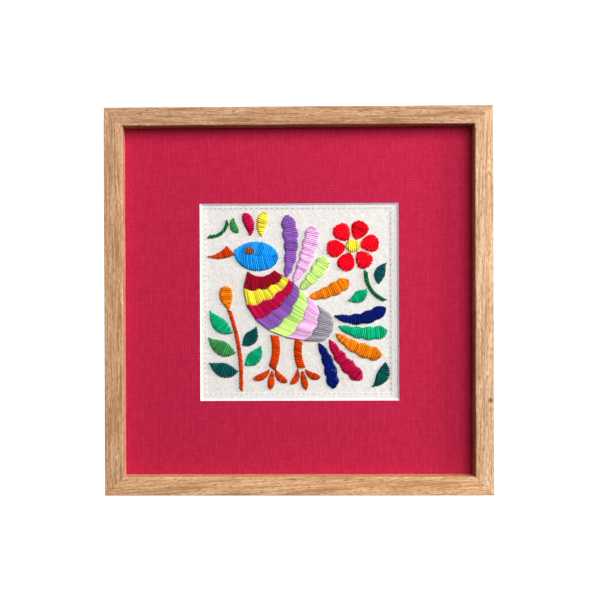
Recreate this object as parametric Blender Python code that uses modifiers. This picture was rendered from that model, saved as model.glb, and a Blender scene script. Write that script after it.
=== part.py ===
"""An otomi embroidered cloth in a square wooden picture frame, lying on its back.

All sizes are in metres. +Z is the way the picture faces, +Y is its upper edge, and the origin lies
under the middle of the frame, on the surface that the rails rest on.
"""

import math
from collections import namedtuple

import bmesh
import bpy
from mathutils import Matrix, Vector

# Frame moulding
GAP = 0.0003
FRAME_SIDE = 0.250
FRAME_DEPTH = 0.022
RAIL_WIDTH = 0.012
EDGE_RADIUS = 0.0008
EDGE_STEPS = 3
LIP_DEPTH = 0.010
REBATE_WIDTH = 0.005

# Boards held in the rebate
BOARD_SIDE = FRAME_SIDE - 2 * (RAIL_WIDTH - REBATE_WIDTH) - 2 * GAP
MAT_THICK = 0.0014
MAT_FACE = FRAME_DEPTH - LIP_DEPTH - GAP
WINDOW_WIDE = 0.130
WINDOW_HIGH = 0.129
WINDOW_CENTRE = Vector((0.0008, -0.0006))
BEVEL_RUN = 0.0011

# Cloth, with a hem folded to its back
CLOTH_SIDE = 0.138
CLOTH_THICK = 0.0012
CLOTH_CELLS = 24
HEM_WIDTH = 0.009
HEM_EXTRA = 0.0004
CLOTH_TOP = MAT_FACE - MAT_THICK - GAP
PUCKER_DEPTH = 0.00012

# Backing board, clear of the lowest pucker in the hemmed cloth
BACKING_THICK = 0.003
BACKING_FACE = CLOTH_TOP - 2 * PUCKER_DEPTH - CLOTH_THICK - HEM_EXTRA - GAP

# Padded satin stitch
RIM_HEIGHT = 0.00025
CROWN_SLOPE = 0.12
CROWN_MOST = 0.0005
TIP_HALF = 0.0005
STATIONS = 9
STEPS_A_SCALLOP = 4
SCALLOP_DIP = 0.24
STITCH_BASE = CLOTH_TOP + GAP

# The bird's body: a bent axis from neck to rump, crossed by bands with scalloped edges
NECK = Vector((-0.0240, 0.0195))
BELLY = Vector((-0.0225, -0.0065))
RUMP = Vector((0.0190, -0.0175))
BODY_HALF = 0.0170
BAND_SLIT = 0.0008
BAND_BULGE = 0.0035
BAND_SCALLOPS = 3
SCALLOP_RISE = 0.0014
BAND_STATIONS = 12

THREADS = {
    "sky_blue": (0.012, 0.279, 0.871),
    "red": (0.913, 0.000, 0.013),
    "navy": (0.000, 0.023, 0.212),
    "orange": (1.000, 0.195, 0.005),
    "grey": (0.270, 0.266, 0.337),
    "crimson": (0.479, 0.000, 0.050),
    "lime": (0.456, 0.745, 0.150),
    "purple": (0.254, 0.091, 0.479),
    "pink": (1.000, 0.423, 0.776),
    "maroon": (0.270, 0.000, 0.016),
    "yellow": (1.000, 0.768, 0.042),
    "emerald": (0.000, 0.479, 0.174),
    "teal": (0.000, 0.102, 0.080),
    "green": (0.023, 0.296, 0.060),
    "stem_green": (0.005, 0.254, 0.068),
    "rust": (0.694, 0.068, 0.004),
    "brown": (0.254, 0.068, 0.024),
}

BODY_BANDS = ("maroon", "yellow", "crimson", "purple", "lime", "pink", "grey")

# A patch runs from its base to its tip, bent to the left by a share of its length. Its outline names
# how wide it is along the way, and its edges may carry scallops. Lengths are in millimetres.
Patch = namedtuple("Patch", "name thread base tip bend width outline scallops")
PATCHES = (
    Patch("head", "sky_blue", (-13.5, 29.5), (-41.0, 32.3), 0.05, 19.5, "oval", 0),
    Patch("beak", "rust", (-44.3, 33.4), (-58.5, 29.5), 0.10, 8.0, "thorn", 0),
    Patch("crest_1", "crimson", (-31.0, 43.6), (-35.5, 57.5), -0.10, 8.0, "petal", 0),
    Patch("crest_2", "yellow", (-23.5, 43.0), (-21.0, 58.0), 0.10, 8.0, "petal", 0),
    Patch("wing_1", "purple", (-8.0, 15.5), (-7.5, 56.0), -0.08, 13.0, "feather", 5),
    Patch("wing_2", "pink", (-3.0, 12.5), (10.0, 49.0), -0.06, 13.0, "feather", 5),
    Patch("wing_3", "lime", (1.5, 8.0), (18.0, 28.5), -0.06, 12.0, "feather", 4),
    Patch("wing_4", "orange", (7.4, 2.6), (33.0, 13.4), -0.06, 11.5, "feather", 4),
    Patch("tail_1", "navy", (24.4, -9.8), (57.0, -4.5), -0.14, 11.0, "feather", 4),
    Patch("tail_2", "emerald", (27.0, -16.6), (58.0, -19.5), -0.10, 11.5, "feather", 4),
    Patch("tail_3", "orange", (25.0, -21.5), (54.5, -35.5), -0.08, 12.0, "feather", 4),
    Patch("tail_4", "crimson", (20.7, -25.6), (41.5, -51.0), -0.06, 12.0, "feather", 4),
    Patch("tail_5", "navy", (13.6, -27.8), (23.0, -57.0), 0.06, 11.0, "feather", 4),
    Patch("leg_1", "rust", (-15.5, -22.8), (-17.0, -43.3), 0.08, 5.4, "stem", 0),
    Patch("toe_1", "rust", (-19.2, -45.0), (-29.0, -50.5), 0.15, 5.2, "petal", 0),
    Patch("toe_2", "rust", (-17.2, -46.2), (-18.2, -57.5), 0.00, 5.2, "petal", 0),
    Patch("toe_3", "rust", (-14.7, -45.0), (-7.4, -52.6), -0.15, 5.2, "petal", 0),
    Patch("leg_2", "rust", (0.5, -26.0), (2.0, -43.3), -0.08, 5.4, "stem", 0),
    Patch("toe_4", "rust", (-0.4, -44.9), (-4.6, -54.0), 0.15, 4.6, "petal", 0),
    Patch("toe_5", "rust", (2.6, -46.2), (5.0, -57.5), 0.00, 5.2, "petal", 0),
    Patch("toe_6", "rust", (5.0, -45.0), (14.2, -49.8), -0.15, 5.2, "petal", 0),
    Patch("flower_stem", "stem_green", (56.5, 0.5), (44.5, 19.0), 0.16, 2.6, "stem", 0),
    Patch("flower_leaf_1", "emerald", (44.6, 7.4), (33.5, 0.5), 0.12, 8.0, "leaf", 0),
    Patch("flower_leaf_2", "teal", (53.0, 11.5), (57.5, 24.5), 0.12, 7.5, "leaf", 0),
    Patch("plant_stem", "rust", (-37.5, -57.5), (-45.0, -6.0), -0.05, 2.6, "stem", 0),
    Patch("plant_leaf_1", "teal", (-39.9, -46.0), (-58.0, -40.5), 0.10, 10.0, "leaf", 0),
    Patch("plant_leaf_2", "emerald", (-34.6, -41.5), (-24.5, -29.5), -0.10, 9.0, "leaf", 0),
    Patch("plant_leaf_3", "green", (-41.3, -33.5), (-58.5, -24.0), 0.10, 10.0, "leaf", 0),
    Patch("plant_leaf_4", "teal", (-36.2, -28.5), (-27.5, -17.0), -0.10, 9.0, "leaf", 0),
    Patch("plant_leaf_5", "emerald", (-43.5, -20.5), (-57.5, -6.5), 0.10, 9.5, "leaf", 0),
    Patch("plant_bud", "orange", (-45.3, -4.4), (-47.5, 10.0), 0.05, 10.0, "petal", 0),
    Patch("corner_stem", "stem_green", (-58.0, 42.5), (-46.2, 51.8), -0.20, 2.4, "stem", 0),
    Patch("corner_bud", "green", (-42.0, 54.4), (-39.0, 45.5), -0.20, 5.6, "petal", 0),
    Patch("low_leaf_1", "teal", (57.0, -40.5), (48.8, -56.0), 0.14, 8.5, "leaf", 0),
)

FLOWER_CENTRE = (36.0, 36.0)
FLOWER_PETALS = 6
PETAL_FOOT = 5.2
PETAL_REACH = 17.0
PETAL_WIDTH = 13.2
FLOWER_EYE = 4.4
FLOWER_TURN = math.radians(8)

BIRD_EYE_CENTRE = (-0.0315, 0.0330)
BIRD_EYE_RADIUS = 0.0030
BIRD_EYE_HEIGHT = 0.0004
BIRD_EYE_SIDES = 12


def clear_scene():
    """Remove every object that the file holds."""
    for thing in list(bpy.data.objects):
        bpy.data.objects.remove(thing, do_unlink=True)


def make_material(name, colour, roughness):
    """A plain non-metal material."""
    material = bpy.data.materials.new(name)
    material.use_nodes = True
    shader = material.node_tree.nodes["Principled BSDF"]
    shader.inputs["Base Color"].default_value = (*colour, 1.0)
    shader.inputs["Roughness"].default_value = roughness
    return material


def make_collection(name):
    """A collection linked to the scene."""
    group = bpy.data.collections.new(name)
    bpy.context.scene.collection.children.link(group)
    return group


def add_object(name, mesh, material, group):
    """An object with one material, in the part's collection."""
    thing = bpy.data.objects.new(name, mesh)
    mesh.materials.clear()
    mesh.materials.append(material)
    group.objects.link(thing)
    return thing


def mesh_from_bmesh(name, shape):
    """Store a bmesh, with its faces turned outwards, as a mesh."""
    bmesh.ops.recalc_face_normals(shape, faces=shape.faces)
    mesh = bpy.data.meshes.new(name)
    shape.to_mesh(mesh)
    shape.free()
    return mesh


def extruded_outline(name, outline, length):
    """The closed mesh of a flat outline, extruded to both sides of its plane."""
    curve = bpy.data.curves.new(name, "CURVE")
    curve.dimensions = "2D"
    curve.fill_mode = "BOTH"
    curve.extrude = length / 2
    spline = curve.splines.new("POLY")
    spline.points.add(len(outline) - 1)
    for point, (x, y) in zip(spline.points, outline):
        point.co = (x, y, 0.0, 1.0)
    spline.use_cyclic_u = True
    carrier = bpy.data.objects.new(name, curve)
    bpy.context.scene.collection.objects.link(carrier)
    evaluated = carrier.evaluated_get(bpy.context.evaluated_depsgraph_get())
    mesh = bpy.data.meshes.new_from_object(evaluated)
    bpy.data.objects.remove(carrier)
    shape = bmesh.new()
    shape.from_mesh(mesh)
    bmesh.ops.remove_doubles(shape, verts=shape.verts, dist=1e-6)
    bpy.data.meshes.remove(mesh)
    return shape


def moulding_profile():
    """One rail's cross-section: x runs in from the frame's outer side, and y is the height."""
    inner = RAIL_WIDTH
    seat = FRAME_DEPTH - LIP_DEPTH
    arc = [math.pi / 2 * step / EDGE_STEPS for step in range(EDGE_STEPS + 1)]
    outer_edge = [
        (EDGE_RADIUS * (1 - math.cos(a)), FRAME_DEPTH - EDGE_RADIUS * (1 - math.sin(a))) for a in arc
    ]
    inner_edge = [
        (inner - EDGE_RADIUS * (1 - math.sin(a)), FRAME_DEPTH - EDGE_RADIUS * (1 - math.cos(a)))
        for a in arc
    ]
    back = [(inner, seat), (inner - REBATE_WIDTH, seat), (inner - REBATE_WIDTH, 0.0), (0.0, 0.0)]
    return outer_edge + inner_edge + back


def rail_mesh():
    """The top rail: moulding cut at 45 degrees at both ends, a glue gap short of the corner line."""
    shape = extruded_outline("rail", moulding_profile(), FRAME_SIDE + 2 * GAP)
    lay_along_x = Matrix(((0, 0, 1, 0), (-1, 0, 0, FRAME_SIDE / 2), (0, 1, 0, 0), (0, 0, 0, 1)))
    bmesh.ops.transform(shape, matrix=lay_along_x, verts=shape.verts)
    for side in (-1, 1):
        normal = Vector((side, -1.0, 0.0)).normalized()
        cut = bmesh.ops.bisect_plane(
            shape,
            geom=shape.verts[:] + shape.edges[:] + shape.faces[:],
            plane_co=-normal * GAP / 2,
            plane_no=normal,
            clear_outer=True,
        )
        edges = [item for item in cut["geom_cut"] if isinstance(item, bmesh.types.BMEdge)]
        bmesh.ops.contextual_create(shape, geom=edges)
    return mesh_from_bmesh("rail", shape)


def make_rails(group, oak):
    """Four mitred rails, the same moulding turned by quarter turns."""
    mesh = rail_mesh()
    for turn, side in enumerate(("top", "left", "bottom", "right")):
        rail = add_object(f"rail_{side}", mesh, oak, group)
        rail.rotation_euler.z = turn * math.pi / 2


def board_box(name, wide, high, low, top):
    """A box centred on the picture, between two heights."""
    shape = bmesh.new()
    bmesh.ops.create_cube(shape, size=1.0)
    bmesh.ops.scale(shape, vec=(wide, high, top - low), verts=shape.verts)
    bmesh.ops.translate(shape, vec=(0, 0, (top + low) / 2), verts=shape.verts)
    return mesh_from_bmesh(name, shape)


def window_cutter(group):
    """A four-sided wedge that cuts the window with a bevel, wider at the mat's face."""
    overshoot = 0.001
    shape = bmesh.new()
    bmesh.ops.create_cube(shape, size=1.0)
    for vert in shape.verts:
        above = vert.co.z > 0
        height = MAT_FACE + overshoot if above else MAT_FACE - MAT_THICK - overshoot
        spread = BEVEL_RUN * (height - MAT_FACE) / MAT_THICK
        half_wide = WINDOW_WIDE / 2 + spread
        half_high = WINDOW_HIGH / 2 + spread
        vert.co = (
            WINDOW_CENTRE.x + math.copysign(half_wide, vert.co.x),
            WINDOW_CENTRE.y + math.copysign(half_high, vert.co.y),
            height,
        )
    cutter = bpy.data.objects.new("window_cutter", mesh_from_bmesh("window_cutter", shape))
    group.objects.link(cutter)
    cutter.hide_render = True
    cutter.display_type = "WIRE"
    return cutter


def make_mat(group, cutters, red_board):
    """The mat: one board with a bevelled window."""
    mesh = board_box("mat_board", BOARD_SIDE, BOARD_SIDE, MAT_FACE - MAT_THICK, MAT_FACE)
    mat = add_object("mat_board", mesh, red_board, group)
    window = mat.modifiers.new("window", "BOOLEAN")
    window.operation = "DIFFERENCE"
    window.solver = "EXACT"
    window.object = window_cutter(cutters)


def make_backing(group, grey_board):
    """A plain board that closes the back and carries the cloth."""
    mesh = board_box(
        "backing_board", BOARD_SIDE, BOARD_SIDE, BACKING_FACE - BACKING_THICK, BACKING_FACE
    )
    add_object("backing_board", mesh, grey_board, group)


def pucker(x, y):
    """How far the cloth lies below its highest level: three crossing ripples, none at the hem."""
    waves = (
        math.sin(210 * x + 60 * y + 0.6)
        + math.sin(-90 * x + 260 * y + 2.1)
        + 0.7 * math.sin(330 * x - 240 * y + 4.0)
    )
    inner = CLOTH_SIDE / 2 - HEM_WIDTH
    reach = max(abs(x), abs(y)) / inner
    fade = max(0.0, 1.0 - reach**6)
    return PUCKER_DEPTH * fade * (1.0 + waves / 2.7)


def make_cloth(group, cotton):
    """The cotton square, with ripples on its face and its hem folded to its back."""
    shape = bmesh.new()
    bmesh.ops.create_grid(shape, x_segments=CLOTH_CELLS, y_segments=CLOTH_CELLS, size=CLOTH_SIDE / 2)
    for vert in shape.verts:
        vert.co.z = CLOTH_TOP - pucker(vert.co.x, vert.co.y)
    mesh = mesh_from_bmesh("embroidered_cloth", shape)
    if mesh.polygons[0].normal.z < 0:
        mesh.flip_normals()
    cloth = add_object("embroidered_cloth", mesh, cotton, group)
    hem = cloth.vertex_groups.new(name="hem")
    inner = CLOTH_SIDE / 2 - HEM_WIDTH
    hemmed = [v.index for v in mesh.vertices if max(abs(v.co.x), abs(v.co.y)) > inner]
    hem.add(hemmed, 1.0, "REPLACE")
    layers = cloth.modifiers.new("layers", "SOLIDIFY")
    layers.thickness = CLOTH_THICK + HEM_EXTRA
    layers.offset = -1.0
    layers.vertex_group = "hem"
    layers.thickness_vertex_group = CLOTH_THICK / layers.thickness


def bend_point(base, middle, tip, t):
    """A point on a bend from base to tip that leans towards a middle point, and its direction."""
    point = base * (1 - t) ** 2 + middle * 2 * t * (1 - t) + tip * t**2
    heading = ((middle - base) * (1 - t) + (tip - middle) * t).normalized()
    return point, heading


def left_of(heading):
    """A direction turned a quarter turn to the left."""
    return Vector((-heading.y, heading.x))


def share_of_width(outline, t):
    """The width at t, 0 at the base and 1 at the tip, as a share of the patch's widest."""
    if outline == "oval":
        return math.sqrt(max(0.0, 1 - (2 * t - 1) ** 2))
    if outline == "petal":
        return math.sqrt(max(0.0, 1 - (2 * t - 1) ** 2)) * (0.62 + 0.5 * t)
    if outline == "feather":
        return math.sqrt(max(0.0, 1 - (2 * t - 1) ** 4)) * (0.38 + 0.62 * t**0.7)
    if outline == "leaf":
        return math.sin(math.pi * t**0.85) ** 0.9
    if outline == "thorn":
        return (1 - t) ** 0.8
    return 1.0


def patch_sides(row):
    """The left and right edges of a patch, as points level with each other along its spine."""
    base = Vector(row.base) / 1000
    tip = Vector(row.tip) / 1000
    chord = tip - base
    middle = (base + tip) / 2 + left_of(chord) * 2 * row.bend
    count = max(STATIONS, row.scallops * STEPS_A_SCALLOP)
    left = []
    right = []
    for step in range(count + 1):
        t = step / count
        if not row.scallops:
            t = (1 - math.cos(math.pi * t)) / 2
        point, heading = bend_point(base, middle, tip, t)
        half = row.width / 2000 * share_of_width(row.outline, t)
        if row.scallops:
            half *= 1 - SCALLOP_DIP * (1 - abs(math.sin(math.pi * row.scallops * t)))
        half = max(half, TIP_HALF)
        left.append(point + left_of(heading) * half)
        right.append(point - left_of(heading) * half)
    return left, right


def body_point(along, across, ripple):
    """A point of the body: along from neck 0 to rump 1, across from -1 to 1, pushed to the rump."""
    point, heading = bend_point(NECK, BELLY, RUMP, along)
    half = BODY_HALF * (0.52 + 0.48 * math.sin(math.pi * along**0.9))
    bulge = BAND_BULGE * (1 - across**2) + ripple
    return point + left_of(heading) * half * across + heading * bulge


def band_edge(number, slit, across):
    """A point on the line between two bands, moved by half a slit into one of them."""
    inside = 0 < number < len(BODY_BANDS)
    ripple = SCALLOP_RISE * abs(math.sin(math.pi * BAND_SCALLOPS * (across + 1) / 2)) if inside else 0
    return body_point(number / len(BODY_BANDS), across, ripple + slit)


def band_sides(number):
    """The neck edge and the rump edge of a body band, level with each other across the body."""
    places = [2 * step / BAND_STATIONS - 1 for step in range(BAND_STATIONS + 1)]
    upper = [band_edge(number, BAND_SLIT / 2, across) for across in places]
    lower = [band_edge(number + 1, -BAND_SLIT / 2, across) for across in places]
    return upper, lower


def padded_mesh(name, left, right):
    """A pad of stitches with a flat back and a crowned face, lofted between its two edges."""
    shape = bmesh.new()
    rings = []
    for a, b in zip(left, right):
        crown = RIM_HEIGHT + min(CROWN_MOST, CROWN_SLOPE * (a - b).length)
        middle = (a + b) / 2
        section = (
            (a, 0.0),
            (a, RIM_HEIGHT),
            (middle, crown),
            (b, RIM_HEIGHT),
            (b, 0.0),
        )
        rings.append([shape.verts.new((p.x, p.y, STITCH_BASE + rise)) for p, rise in section])
    for first, second in zip(rings, rings[1:]):
        for near, far in zip(range(5), (1, 2, 3, 4, 0)):
            shape.faces.new((first[near], first[far], second[far], second[near]))
    shape.faces.new(rings[0][::-1])
    shape.faces.new(rings[-1])
    return mesh_from_bmesh(name, shape)


def flower_rows():
    """The flower's petals, turned about its centre, and its round eye."""
    centre = Vector(FLOWER_CENTRE)
    rows = []
    for number in range(FLOWER_PETALS):
        angle = FLOWER_TURN + 2 * math.pi * number / FLOWER_PETALS
        ray = Vector((math.cos(angle), math.sin(angle)))
        foot = centre + ray * PETAL_FOOT
        reach = centre + ray * PETAL_REACH
        rows.append(Patch(f"petal_{number + 1}", "red", foot, reach, 0.0, PETAL_WIDTH, "petal", 0))
    across = Vector((FLOWER_EYE, 0.0))
    rows.append(
        Patch("flower_eye", "yellow", centre - across, centre + across, 0.0, 2 * FLOWER_EYE, "oval", 0)
    )
    return rows


def make_bird_eye(group, thread):
    """A small round knot of thread on the head."""
    head_crown = STITCH_BASE + RIM_HEIGHT + CROWN_MOST
    shape = bmesh.new()
    bmesh.ops.create_cone(
        shape,
        cap_ends=True,
        segments=BIRD_EYE_SIDES,
        radius1=BIRD_EYE_RADIUS,
        radius2=BIRD_EYE_RADIUS * 0.7,
        depth=BIRD_EYE_HEIGHT,
    )
    lift = head_crown + GAP + BIRD_EYE_HEIGHT / 2
    bmesh.ops.translate(shape, vec=(*BIRD_EYE_CENTRE, lift), verts=shape.verts)
    add_object("stitched_bird_eye", mesh_from_bmesh("stitched_bird_eye", shape), thread, group)


def make_stitching(group, threads):
    """Every patch of satin stitch, each its own pad."""
    for row in PATCHES + tuple(flower_rows()):
        name = f"stitched_{row.name}"
        add_object(name, padded_mesh(name, *patch_sides(row)), threads[row.thread], group)
    for number, thread in enumerate(BODY_BANDS):
        name = f"stitched_band_{number + 1}"
        add_object(name, padded_mesh(name, *band_sides(number)), threads[thread], group)
    make_bird_eye(group, threads["brown"])


def main():
    """Build the framed cloth."""
    clear_scene()
    part = make_collection("framed_embroidered_cloth")
    cutters = make_collection("cutters")
    oak = make_material("oak", (0.565, 0.342, 0.195), 0.55)
    red_board = make_material("crimson_board", (0.565, 0.017, 0.058), 0.9)
    grey_board = make_material("grey_board", (0.420, 0.380, 0.320), 0.9)
    cotton = make_material("cotton", (0.888, 0.838, 0.783), 0.95)
    threads = {name: make_material(f"{name}_thread", c, 0.5) for name, c in THREADS.items()}

    make_rails(part, oak)
    make_mat(part, cutters, red_board)
    make_cloth(part, cotton)
    make_backing(part, grey_board)
    make_stitching(part, threads)


main()
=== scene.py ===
"""The looks of an otomi embroidered cloth, matted and framed in oak, lying on its back.

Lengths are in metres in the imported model's frame unless a name says millimetres: +Z is the way the
picture faces, +Y is its upper edge, and the rails rest on z = 0.
"""

from __future__ import annotations

import logging
import math
from collections.abc import Iterable, Mapping, Sequence
from dataclasses import dataclass, field
from enum import Enum

import bmesh
import bpy
import numpy as np
from mathutils import Euler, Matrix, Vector, noise


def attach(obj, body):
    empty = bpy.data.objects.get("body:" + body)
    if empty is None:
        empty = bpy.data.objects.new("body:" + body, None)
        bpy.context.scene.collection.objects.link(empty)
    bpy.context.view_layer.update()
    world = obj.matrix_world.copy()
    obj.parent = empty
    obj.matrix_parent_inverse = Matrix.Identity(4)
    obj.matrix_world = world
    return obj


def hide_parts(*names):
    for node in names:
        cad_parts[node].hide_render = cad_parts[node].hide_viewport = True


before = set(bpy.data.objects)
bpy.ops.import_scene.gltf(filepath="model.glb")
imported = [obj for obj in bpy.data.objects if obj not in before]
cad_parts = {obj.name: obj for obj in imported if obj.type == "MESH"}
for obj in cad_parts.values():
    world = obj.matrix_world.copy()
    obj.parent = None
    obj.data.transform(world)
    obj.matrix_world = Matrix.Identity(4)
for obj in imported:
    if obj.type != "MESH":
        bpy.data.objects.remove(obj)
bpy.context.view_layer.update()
LOG = logging.getLogger("framed_cloth")
MM = 0.001
PIXELS = 600

# Sizes that the pieces share
FRAME_SIDE = 0.250
FRAME_DEPTH = 0.022
RAIL_WIDTH = 0.012
LIP_DEPTH = 0.010
REBATE_WIDTH = 0.005
FIT_GAP = 0.0003
MAT_FACE = FRAME_DEPTH - LIP_DEPTH - FIT_GAP
MAT_THICK = 0.0014
WINDOW_WIDE = 0.130
WINDOW_HIGH = 0.129
WINDOW_CENTRE = (0.0008, -0.0006)
BEVEL_RUN = 0.0011
CLOTH_SIDE = 0.138
CLOTH_TOP = MAT_FACE - MAT_THICK - FIT_GAP
HEM_WIDTH = 0.009
STITCH_BASE = CLOTH_TOP + FIT_GAP
BODY = "root"


def linear(hex_code: str) -> tuple[float, float, float, float]:
    """Turn an sRGB colour into linear light.

    Args:
        hex_code: Six hex digits after a hash sign.

    Returns:
        Red, green, blue and an alpha of one.
    """
    channels = [int(hex_code[i : i + 2], 16) / 255 for i in (1, 3, 5)]
    light = [c / 12.92 if c <= 0.04045 else ((c + 0.055) / 1.055) ** 2.4 for c in channels]
    return (light[0], light[1], light[2], 1.0)


def add_node(
    tree: bpy.types.NodeTree,
    kind: str,
    sockets: Mapping[int | str, object] | None = None,
    **settings: object,
) -> bpy.types.Node:
    """Add one node, with its settings, socket values and links.

    Args:
        tree: The tree that gets the node.
        kind: The node's type.
        sockets: A value, or another node's output, for each named or numbered input.
        settings: The node's own properties.

    Returns:
        The new node.
    """
    node = tree.nodes.new(kind)
    for name, value in settings.items():
        setattr(node, name, value)
    for key, value in (sockets or {}).items():
        if isinstance(value, bpy.types.NodeSocket):
            tree.links.new(value, node.inputs[key])
        else:
            node.inputs[key].default_value = value
    return node


def new_piece(name: str, mesh: bpy.types.Mesh, *materials: bpy.types.Material) -> bpy.types.Object:
    """Put a mesh in the scene as a piece at the origin.

    Args:
        name: The piece's name.
        mesh: Its mesh, already in place.
        materials: The materials for its slots. None keeps those that the mesh has.

    Returns:
        The new object.
    """
    for material in materials:
        mesh.materials.append(material)
    piece = bpy.data.objects.new(name, mesh)
    bpy.context.scene.collection.objects.link(piece)
    return piece


def seat(piece: bpy.types.Object, slot: str, *nodes: str) -> None:
    """Fasten a piece to the part's one body, in place of the named nodes.

    Args:
        piece: The finished piece.
        slot: The material slot that it is finished in. It is not used.
        nodes: The solids that it stands for.
    """
    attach(piece, BODY)
    if nodes:
        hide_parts(*nodes)
    LOG.info("%s: %d faces, for %s", piece.name, len(piece.data.polygons), ", ".join(nodes))


class GrainWay(Enum):
    """The direction that a rail's grain runs in."""

    ALONG_X = 0.0
    ALONG_Y = math.pi / 2


class Thread(Enum):
    """The thread colours, each with its shade in sRGB."""

    SKY_BLUE = "#149BF4"
    RED = "#FF0020"
    NAVY = "#001871"
    ORANGE = "#FF8D08"
    GREY = "#A39FAA"
    CRIMSON = "#C90648"
    LIME = "#D5FC8D"
    PURPLE = "#9760BF"
    PINK = "#FFC6F4"
    MAROON = "#A00525"
    YELLOW = "#FFEE42"
    EMERALD = "#03B782"
    TEAL = "#035757"
    GREEN = "#3D9C4F"
    STEM_GREEN = "#037537"
    RUST = "#DB4303"
    BROWN = "#A25A34"

    @property
    def slot(self) -> str:
        """The slot name for this thread."""
        return f"{self.name.lower()}_thread"


class Outline(Enum):
    """How a patch's width runs from its base to its tip.

    An oval is even at both ends, a petal and a feather are fuller towards the tip, a leaf is pointed
    at both ends, a thorn narrows all the way, and a stem keeps its width.
    """

    OVAL = "oval"
    PETAL = "petal"
    FEATHER = "feather"
    LEAF = "leaf"
    THORN = "thorn"
    STEM = "stem"

    def share(self, t: float) -> float:
        """How wide the patch is at one place.

        Args:
            t: The place, 0 at the base and 1 at the tip.

        Returns:
            The width as a share of the widest.
        """
        if self is Outline.OVAL:
            return math.sqrt(max(0.0, 1 - (2 * t - 1) ** 2))
        if self is Outline.PETAL:
            return math.sqrt(max(0.0, 1 - (2 * t - 1) ** 2)) * (0.62 + 0.5 * t)
        if self is Outline.FEATHER:
            return math.sqrt(max(0.0, 1 - (2 * t - 1) ** 4)) * (0.38 + 0.62 * t**0.7)
        if self is Outline.LEAF:
            return math.sin(math.pi * t**0.85) ** 0.9
        if self is Outline.THORN:
            return (1 - t) ** 0.8
        return 1.0


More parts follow.
